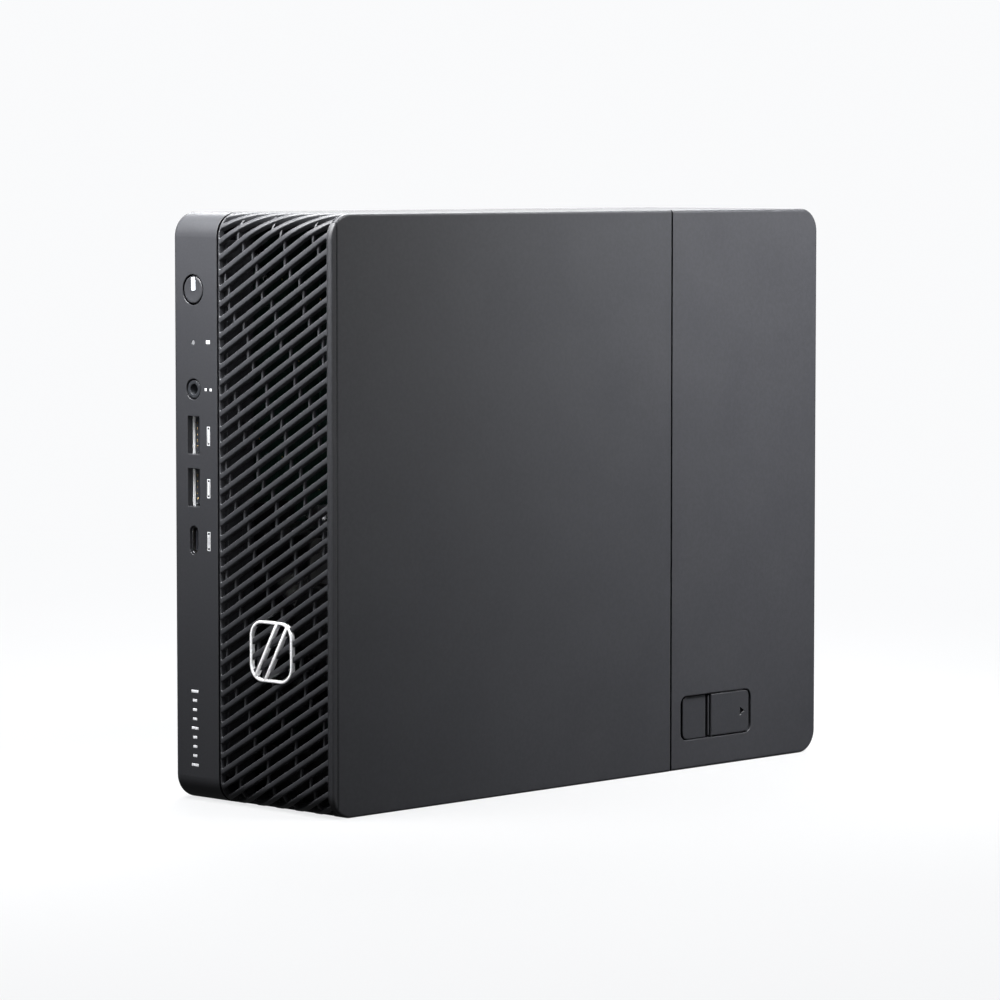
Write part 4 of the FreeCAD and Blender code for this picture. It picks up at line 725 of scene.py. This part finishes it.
def rim_outline():
    """Outer outline of the grille's face, inset by its bevel at the left and right."""
    cuts = sorted(
        [S_LOW - RETURN, S_HIGH + RETURN]
        + [ROLL - ROLL * math.radians(a) for a in range(0, 91, 9)]
        + [HEIGHT - ROLL + ROLL * math.radians(a) for a in range(0, 91, 9)]
        + list(np.linspace(ROLL, HEIGHT - ROLL, 40)[1:-1]))
    cuts = [c for i, c in enumerate(cuts) if i == 0 or c - cuts[i - 1] > 1e-4]
    left, right = LEFT + RIM_BEVEL, RIGHT - RIM_BEVEL
    across = [(RIGHT - LEFT - 2 * RIM_BEVEL) * k / 24 for k in range(1, 24)]
    return ([(left, c) for c in cuts] + [(left + d, cuts[-1]) for d in across]
            + [(right, c) for c in reversed(cuts)] + [(right - d, cuts[0]) for d in across])


def rim_ring(rim, inset):
    """The rim outline with its left and right sides at inset from the grille's sides."""
    def moved(x):
        if x <= LEFT + RIM_BEVEL + 1e-6:
            return LEFT + inset
        return RIGHT - inset if x >= RIGHT - RIM_BEVEL - 1e-6 else x
    return [(moved(x), s) for x, s in rim]


def lattice_triangles(slots, rim):
    """Triangles of the face between the slot rims and the outer rim."""
    points, edges = [], []
    for outline in slots + [rim]:
        base, count = len(points), len(outline)
        points += outline
        edges += [(base + i, base + (i + 1) % count) for i in range(count)]
    flat, _, triangles, origins, _, _ = delaunay_2d_cdt(
        [Vector(p) for p in points], edges, [], 0, 1e-5)
    # numbering of the input points, for each output point that comes from one
    source = {i: origin[0] for i, origin in enumerate(origins) if origin}
    centres = np.array([[(flat[a][axis] + flat[b][axis] + flat[c][axis]) / 3
                         for axis in (0, 1)] for a, b, c in triangles])
    in_slot = np.zeros(len(triangles), bool)
    for slot in slots:
        slot = np.array(slot)
        low, high = slot.min(0), slot.max(0)
        near = np.where(((centres > low) & (centres < high)).all(axis=1))[0]
        c = centres[near]
        inside = np.ones(len(near), bool)
        for a, b in zip(slot, np.roll(slot, -1, axis=0)):
            cross = (b[0] - a[0]) * (c[:, 1] - a[1]) - (b[1] - a[1]) * (c[:, 0] - a[0])
            inside &= cross > 0
        in_slot[near[inside]] = True
    in_rim = ((centres[:, 0] > LEFT + RIM_BEVEL - 1e-6)
              & (centres[:, 0] < RIGHT - RIM_BEVEL + 1e-6))
    return [tuple(source[i] for i in triangle)
            for triangle, hole, within in zip(triangles, in_slot, in_rim)
            if not hole and within and all(i in source for i in triangle)]


def grille_shell():
    """Front face, back face, and the bevelled walls of the slots and the outer rim."""
    slots, rim = slot_outlines(), rim_outline()
    slot_rims = [offset(slot, SLOT_BEVEL) for slot in slots]
    triangles = lattice_triangles(slot_rims, rim)
    verts = [rolled(x, s, 0.0) for outline in slot_rims + [rim] for x, s in outline]
    back_base = len(verts)
    backs = slots + [rim_ring(rim, 0.0)]
    verts += [rolled(x, s, GRILLE_WALL) for outline in backs for x, s in outline]
    faces = triangles + [tuple(back_base + i for i in reversed(t)) for t in triangles]
    start = 0
    for number, back in enumerate(backs):
        is_slot = number < len(slots)
        bevel = SLOT_BEVEL if is_slot else RIM_BEVEL
        count = len(back)
        previous = range(start, start + count)
        for t in (math.pi / 3, math.pi / 6, 0.0):
            inset, depth = bevel * (1 - math.cos(t)), bevel * (1 - math.sin(t))
            ring = offset(back, inset) if is_slot else rim_ring(rim, inset)
            now = range(len(verts), len(verts) + count)
            verts += [rolled(x, s, depth) for x, s in ring]
            faces += join_rings(previous, now, flip=is_slot)
            previous = now
        back_ring = range(back_base + start, back_base + start + count)
        faces += join_rings(previous, back_ring, flip=is_slot)
        start += count
    return verts, faces


def bridge_places():
    """(x, s) of every bridge between neighbouring rods."""
    x_low, x_high = SLOT_X
    places = []
    for lane in LANES:
        x = BRIDGE_START + BRIDGE_STEP * (lane - 2) + BRIDGE_SHIFTS[(lane - 2) % 4]
        x -= math.ceil((x - x_low + BRIDGE_PITCH) / BRIDGE_PITCH) * BRIDGE_PITCH
        while x < x_high:
            if x > x_low + 0.2 and S_LOW + 0.4 < mid_line(lane, x) < S_HIGH - 0.4:
                places.append((x, mid_line(lane, x)))
            x += BRIDGE_PITCH
    return places


def bridge(x, middle):
    """Bar set back from the rod faces and run into the rods at both ends."""
    overlap, half = 0.3, BRIDGE_WIDTH / 2
    low = max(middle - (HALF_LANE + overlap), S_LOW + 0.3)
    high = min(middle + (HALF_LANE + overlap), S_HIGH - 0.3)
    rings = 7 if on_roll(low, high) else 2
    # (across, depth)
    section = [
        (-half, BRIDGE_BACK), (-half, BRIDGE_DEPTH + BRIDGE_CHAMFER),
        (-half + BRIDGE_CHAMFER, BRIDGE_DEPTH), (half - BRIDGE_CHAMFER, BRIDGE_DEPTH),
        (half, BRIDGE_DEPTH + BRIDGE_CHAMFER), (half, BRIDGE_BACK),
    ]
    verts = []
    for i in range(rings):
        s = low + (high - low) * i / (rings - 1)
        verts += [rolled(x + dx, s + ROD_SLOPE * dx, depth) for dx, depth in section]
    return verts, capped_tube(rings, len(section))


add("grille_lattice", joined([grille_shell()] + [bridge(*place) for place in bridge_places()]),
    "grille_plastic", "root", "front_grille", sharp=38)


# ------------------------------------------------------------------ emblem
EMBLEM_FRONT, EMBLEM_BACK = FRONT - 0.35, FRONT + 1.1
EMBLEM_CORNER = 5.0         # corner radius of the ring's mid-line
RING_HALF, RING_ROUND = 0.5, 0.3
BAR_OFFSETS, BAR_HALF, BAR_TILT = (-2.6, 2.6), 0.65, math.radians(30)


def sweep(path, section):
    """Runs an (across, y) section along a closed (x, z) path."""
    verts = []
    for i, (x, z) in enumerate(path):
        before, after = path[i - 1], path[(i + 1) % len(path)]
        along = (after[0] - before[0], after[1] - before[1])
        length = math.hypot(*along)
        normal = (along[1] / length, -along[0] / length)
        verts += [(x + normal[0] * across, y, z + normal[1] * across) for across, y in section]
    return verts, tube(len(path), len(section), looped=True, flip=True)


def emblem():
    """Rounded square ring crossed by two slanting bars."""
    low, high = box_mm("emblem")
    centre_x, centre_z = (low[0] + high[0]) / 2, (low[2] + high[2]) / 2
    half = (high[0] - low[0]) / 2

    section = [(-RING_HALF, EMBLEM_BACK), (RING_HALF, EMBLEM_BACK)]
    for side, start in ((1, 0.0), (-1, math.pi / 2)):
        for k in range(5):
            t = start + math.pi / 2 * k / 4
            section.append((side * (RING_HALF - RING_ROUND) + RING_ROUND * math.cos(t),
                            EMBLEM_FRONT + RING_ROUND - RING_ROUND * math.sin(t)))
    path = rounded_rect(*around(centre_x, half - RING_HALF), *around(centre_z, half - RING_HALF),
                        EMBLEM_CORNER, 14)
    add("emblem_ring", sweep(ccw(subdivide(path, 1.2)), section), "emblem_trim", "root", "emblem")

    def inside_ring(x, z):
        straight = half - (RING_HALF + EMBLEM_CORNER)
        return math.hypot(max(abs(x) - straight, 0), max(abs(z) - straight, 0)) < EMBLEM_CORNER

    along = (math.sin(BAR_TILT), math.cos(BAR_TILT))
    for number, shift in enumerate(BAR_OFFSETS):
        ends = []
        for sign in (-1, 1):
            reach = 0.0
            while inside_ring(shift + along[0] * reach * sign, along[1] * reach * sign):
                reach += 0.02
            ends.append(reach * sign)
        corners = [
            (centre_x + shift + along[0] * t + along[1] * across,
             centre_z + along[1] * t - along[0] * across)
            for t, across in ((ends[0], -BAR_HALF), (ends[0], BAR_HALF),
                              (ends[1], BAR_HALF), (ends[1], -BAR_HALF))]
        bar = slab(round_corners(corners, 0.25, 3), EMBLEM_BACK, EMBLEM_FRONT, bevel=0.28)
        add(f"emblem_bar_{number}", bar, "emblem_trim", "root")


emblem()


# ------------------------------------------------------------ power button
def power_button():
    """Dished round cap with a flange and stem behind it, and its light."""
    low, high = box_mm("power_button")
    flange = (high[0] - low[0]) / 2
    cap = flange - 1.1
    edge, lip = 0.45, 0.04  # rounding of the cap's edge; depth of its foremost ring
    # (radius, depth behind the front face)
    profile = [(0.0, 0.30), (cap * 0.3, 0.285), (cap * 0.6, 0.22), (cap - 0.9, 0.10),
               (cap - 0.5, lip)]
    for k in range(1, 6):
        t = math.pi / 2 * k / 5
        profile.append((cap - edge + edge * math.sin(t), lip + edge * (1 - math.cos(t))))
    profile += [(cap, 2.6), (flange, 2.6), (flange, 3.4),
                (1.6, 3.4), (1.6, 7.3), (1.4, 7.5), (0.0, 7.5)]
    centre = ((low[0] + high[0]) / 2, FRONT, (low[2] + high[2]) / 2)
    add("power_button_cap", lathe(profile, centre, "y", 72), "panel_plastic",
        "power_button", "power_button", sharp=30)

    low, high = box_mm("power_light")
    outline = rounded_rect(low[0], high[0], low[2], high[2], 0.35, 4)
    add("power_light_lens", slab(outline, FRONT + 1.6, FRONT + 0.02, bevel=0.12),
        "light_guide", "power_button", "power_light")


power_button()


# ------------------------------------------------------------- rubber feet
def feet():
    """Four round feet on the -X wall, slightly dished, with rounded rims."""
    radius, rounding = 6.0, 0.8
    low, high = box_mm("rubber_feet")
    wall = box_mm("chassis")[0][0]
    sole = low[0] - wall
    flat = radius - rounding
    # (radius, x from the wall)
    profile = [(0.0, sole + 0.12), (3.2, sole + 0.12), (3.6, sole + 0.02), (4.0, sole),
               (flat, sole)]
    for k in range(1, 6):
        t = math.pi / 2 * k / 5
        profile.append((flat + rounding * math.sin(t), sole + rounding * (1 - math.cos(t))))
    profile += [(radius, 0.0), (0.0, 0.0)]
    shapes = [lathe(profile, (wall, y, z), "x", 40)
              for y in (low[1] + radius, high[1] - radius)
              for z in (low[2] + radius, high[2] - radius)]
    add("rubber_feet_domed", joined(shapes), "foot_rubber", "root", "rubber_feet")


feet()


# ----------------------------------------------------------- front sockets
def usb_shell(label, low, high):
    """Formed metal shell with a flared mouth; the low-X flare gets a brighter steel, a painted
    highlight.
    """
    front, back = low[1], high[1]
    # (inset in x, inset in z, y)
    levels = [(0.0, 0.0, back), (0.0, 0.0, front + 0.1), (0.1, 0.1, front),
              (0.2, 0.15, front + 0.02), (0.6, 0.34, front + 0.75), (0.6, 0.34, back)]
    rings = []
    for inset, rise, y in levels:
        outline = rounded_rect(low[0] + inset, high[0] - inset, low[2] + rise, high[2] - rise,
                               0.3, 3)
        rings.append([(x, y, z) for x, z in outline])
    verts = [vert for ring in rings for vert in ring]
    shell = add(f"usb_shell_{label}_formed", (verts, tube(len(rings), len(rings[0]), looped=True)),
                "connector_steel", "root", f"usb_shell_{label}", sharp=40)
    # slot 1 paints a highlight onto the low-X side of the flare
    shell.data.materials.append(materials["flare_painted_highlight"])
    flare_y = front + (0.02 + 0.75) / 2
    for face in shell.data.polygons:
        centre = face.center / MM
        half_height = max(abs(shell.data.vertices[i].co.z / MM - centre.z) for i in face.vertices)
        if abs(centre.y - flare_y) < 0.1 and centre.x < low[0] + 0.8 and half_height > 3:
            face.material_index = 1


def usb_socket(label):
    """Shell, tongue on a backing plate, and two rows of contacts."""
    low, high = box_mm(f"usb_shell_{label}")
    usb_shell(label, low, high)
    tongue_low, tongue_high = box_mm(f"usb_tongue_{label}")
    front, back = tongue_low[1], tongue_high[1]
    left = (low[0] + high[0]) / 2 - 2.0
    right = left + 1.8
    middle = (low[2] + high[2]) / 2
    inner = 0.64  # inset of the backing plate from the shell's outside
    tongue = [
        block((left, right), (front, back - 2.0), around(middle, 5.55), 0.25),
        block((low[0] + inner, high[0] - inner), (back - 2.2, back),
              (low[2] + inner, high[2] - inner)),
    ]
    add(f"usb_tongue_{label}_moulded", joined(tongue), "tongue_dark", "root",
        f"usb_tongue_{label}")
    # four long contacts on the +X side of the tongue, five short ones in its nose
    contacts = [block((right - 0.05, right + 0.18), (front + 0.5, back - 2.3),
                      around(middle + shift, 0.5)) for shift in (-3.5, -1.0, 1.0, 3.5)]
    contacts += [block((left + 0.35, left + 0.75), (front - 0.06, front + 0.6),
                       around(middle + shift, 0.3), 0.08) for shift in (-3.8, -1.9, 0.0, 1.9, 3.8)]
    add(f"usb_contacts_{label}", joined(contacts), "contact_gold", "root")


def usb_c_contacts():
    """Twelve contacts on each side of the small tongue."""
    pitch, first, proud, sunk = 0.5, -2.75, 0.04, 0.05
    low, high = box_mm("usb_c_tongue")
    depth = (FRONT + 1.6, FRONT + 6.5)
    pins = []
    for k in range(12):
        height = around((low[2] + high[2]) / 2 + first + pitch * k, 0.12)
        pins.append(block((low[0] - proud, low[0] + sunk), depth, height, 0.04))
        pins.append(block((high[0] - sunk, high[0] + proud), depth, height, 0.04))
    add("usb_c_contacts", joined(pins), "contact_gold", "root")


usb_socket("upper")
usb_socket("lower")
usb_c_contacts()


# ------------------------------------------------------------ latch spring
def latch_spring():
    """Tension spring between the latch post and the cover post, with closed end loops."""
    radius, wire, sides = 1.7, 0.27, 8   # coil radius, wire radius, points round the wire
    turns, steps_per_turn = 9, 28
    end, loop_steps, loop_turn = 0.6, 14, 0.9  # length, points and turns of an end loop
    low, high = box_mm("latch_spring")
    x_mid, z_mid = (low[0] + high[0]) / 2, (low[2] + high[2]) / 2
    y_low, y_high = low[1], high[1]
    span = y_high - y_low - 2 * end

    def on_coil(turn, y):
        angle = 2 * math.pi * turn
        return np.array((x_mid + radius * math.cos(angle), y, z_mid + radius * math.sin(angle)))

    path = [on_coil(-(loop_steps - k) / loop_steps * loop_turn,
                    y_low + wire + (end - wire) * k / loop_steps) for k in range(loop_steps)]
    for i in range(turns * steps_per_turn + 1):
        turn = i / steps_per_turn
        path.append(on_coil(turn, y_low + end + span * turn / turns))
    path += [on_coil(k / loop_steps * loop_turn, y_high - end + (end - wire) * k / loop_steps)
             for k in range(1, loop_steps + 1)]

    verts = []
    for i, point in enumerate(path):
        before, after = path[max(0, i - 1)], path[min(len(path) - 1, i + 1)]
        along = (after - before) / np.linalg.norm(after - before)
        outward = np.array((point[0] - x_mid, 0.0, point[2] - z_mid))
        outward /= np.linalg.norm(outward)
        normal = outward - along * float(outward @ along)
        normal /= np.linalg.norm(normal)
        across = np.cross(along, normal)
        for k in range(sides):
            w = 2 * math.pi * k / sides
            verts.append(tuple(point + wire * (math.cos(w) * normal + math.sin(w) * across)))
    coil = add("latch_spring_coil", (verts, capped_tube(len(path), sides)), "spring_steel",
               replaces="latch_spring", sharp=60)
    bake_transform(coil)


latch_spring()

# ------------------------------------------------------- stage, in metres
BACKDROP = (0.955, 0.96, 0.97, 1)
FLOOR_RADII = (0.0, 0.6, 1.5, 4.0, 14.0)


def floor():
    """Pale disc that fades into the backdrop tone towards its rim."""
    disc = lathe([(radius, 0.0) for radius in FLOOR_RADII], (0, 0, 0), "z", 96)
    obj = mesh_object("studio_floor", *disc)
    with editing(obj.data) as bm:
        for face in bm.faces:
            if face.normal.z < 0:
                face.normal_flip()

    shader = Shader("studio_floor")
    cloud = shader.ramp(shader.noise(3.0, detail=2.0, rough=0.5))
    shader.set(Base_Color=shader.mix(cloud, (0.42, 0.42, 0.422, 1), (0.45, 0.45, 0.452, 1)),
               Roughness=0.75, Specular_IOR_Level=0.1)
    far = shader.node("ShaderNodeEmission")
    far.inputs["Color"].default_value = BACKDROP
    distance = shader.node("ShaderNodeVectorMath", operation="LENGTH")
    shader.link(shader.coord, distance.inputs[0])
    blend = shader.node("ShaderNodeMixShader")
    fade = shader.ramp(distance.outputs["Value"], span=(0.25, 1.0), to=(0.80, 1.0))
    shader.put(blend.inputs[0], fade)
    shader.link(shader.surface.outputs[0], blend.inputs[1])
    shader.link(far.outputs[0], blend.inputs[2])
    shader.link(blend.outputs[0], shader.output.inputs[0])
    obj.data.materials.append(shader.material)
    obj.visible_diffuse = False
    obj.visible_glossy = False


def studio_world():
    """The camera sees the plain backdrop; the parts get dim light, brighter from above."""
    world = bpy.data.worlds.new("studio")
    scene.world = world
    world.use_nodes = True
    tree = world.node_tree
    tree.nodes.clear()
    output, mix, seen, light, path, coord, split, ramp = (
        tree.nodes.new("ShaderNode" + kind)
        for kind in ("OutputWorld", "MixShader", "Background", "Background", "LightPath",
                     "TexCoord", "SeparateXYZ", "MapRange"))
    seen.inputs[0].default_value = BACKDROP
    light.inputs[0].default_value = (0.97, 0.98, 1.0, 1)
    # upward direction to light strength
    for key, value in {"From Min": -0.25, "From Max": 0.75,
                       "To Min": 0.05, "To Max": 0.20}.items():
        ramp.inputs[key].default_value = value
    for source, target in (
        (coord.outputs["Generated"], split.inputs[0]),
        (split.outputs["Z"], ramp.inputs["Value"]),
        (ramp.outputs[0], light.inputs[1]),
        (path.outputs["Is Camera Ray"], mix.inputs[0]),
        (light.outputs[0], mix.inputs[1]),
        (seen.outputs[0], mix.inputs[2]),
        (mix.outputs[0], output.inputs[0]),
    ):
        tree.links.new(source, target)


def place_aimed(name, data, at, aim):
    """Links an object at a place with its -Z axis towards aim."""
    obj = bpy.data.objects.new(name, data)
    scene.collection.objects.link(obj)
    obj.location = at
    obj.rotation_mode = "QUATERNION"
    obj.rotation_quaternion = (Vector(aim) - Vector(at)).to_track_quat("-Z", "Y")
    return obj


def area_light(name, at, aim, size, power, colour=(1, 1, 1), spread=None):
    """Square light; size in metres, power in watts, spread in degrees."""
    data = bpy.data.lights.new(name, "AREA")
    data.shape = "SQUARE"
    data.size = size
    if spread:
        data.spread = math.radians(spread)
    data.energy = power
    data.color = colour
    place_aimed(name, data, at, aim).visible_camera = False


def camera():
    data = bpy.data.cameras.new("camera")
    scene.camera = place_aimed("camera", data, at=(1.05758639, -1.09160621, 0.20933787),
                               aim=(0.018, -0.022, 0.0965))
    data.sensor_width = 36
    data.lens = 160
    data.clip_start = 0.01
    data.clip_end = 60


floor()
studio_world()
area_light("rear_spot", at=(0.28, 0.10, 0.46), aim=(0.038, 0.11, 0.17),
           size=0.2, power=1.26, spread=70)
area_light("rear_side", at=(0.34, 0.30, 0.34), aim=(0.038, 0.09, 0.14),
           size=0.25, power=0.13, spread=80)
area_light("side_mid", at=(0.42, 0.12, 0.20), aim=(0.038, 0.03, 0.12),
           size=0.2, power=0.06, spread=90)
area_light("front_high", at=(-0.02, -0.23, 0.33), aim=(0.0, -0.119, 0.15),
           size=0.15, power=1.60)
area_light("front_low", at=(-0.02, -0.20, 0.28), aim=(0.0, -0.119, 0.15),
           size=0.12, power=0.56)
area_light("back_left", at=(-0.85, 0.85, 1.40), aim=(0.0, 0.05, 0.10),
           size=0.9, power=52, colour=(0.98, 0.99, 1.0))
area_light("port_fill", at=(0.42, -0.56, 0.16), aim=(-0.022, -0.119, 0.11),
           size=0.12, power=0.012, spread=18)
area_light("top", at=(0.0, 0.06, 1.3), aim=(0, 0.02, 0.1), size=0.9, power=7)
camera()
scene.view_settings.view_transform = "Standard"
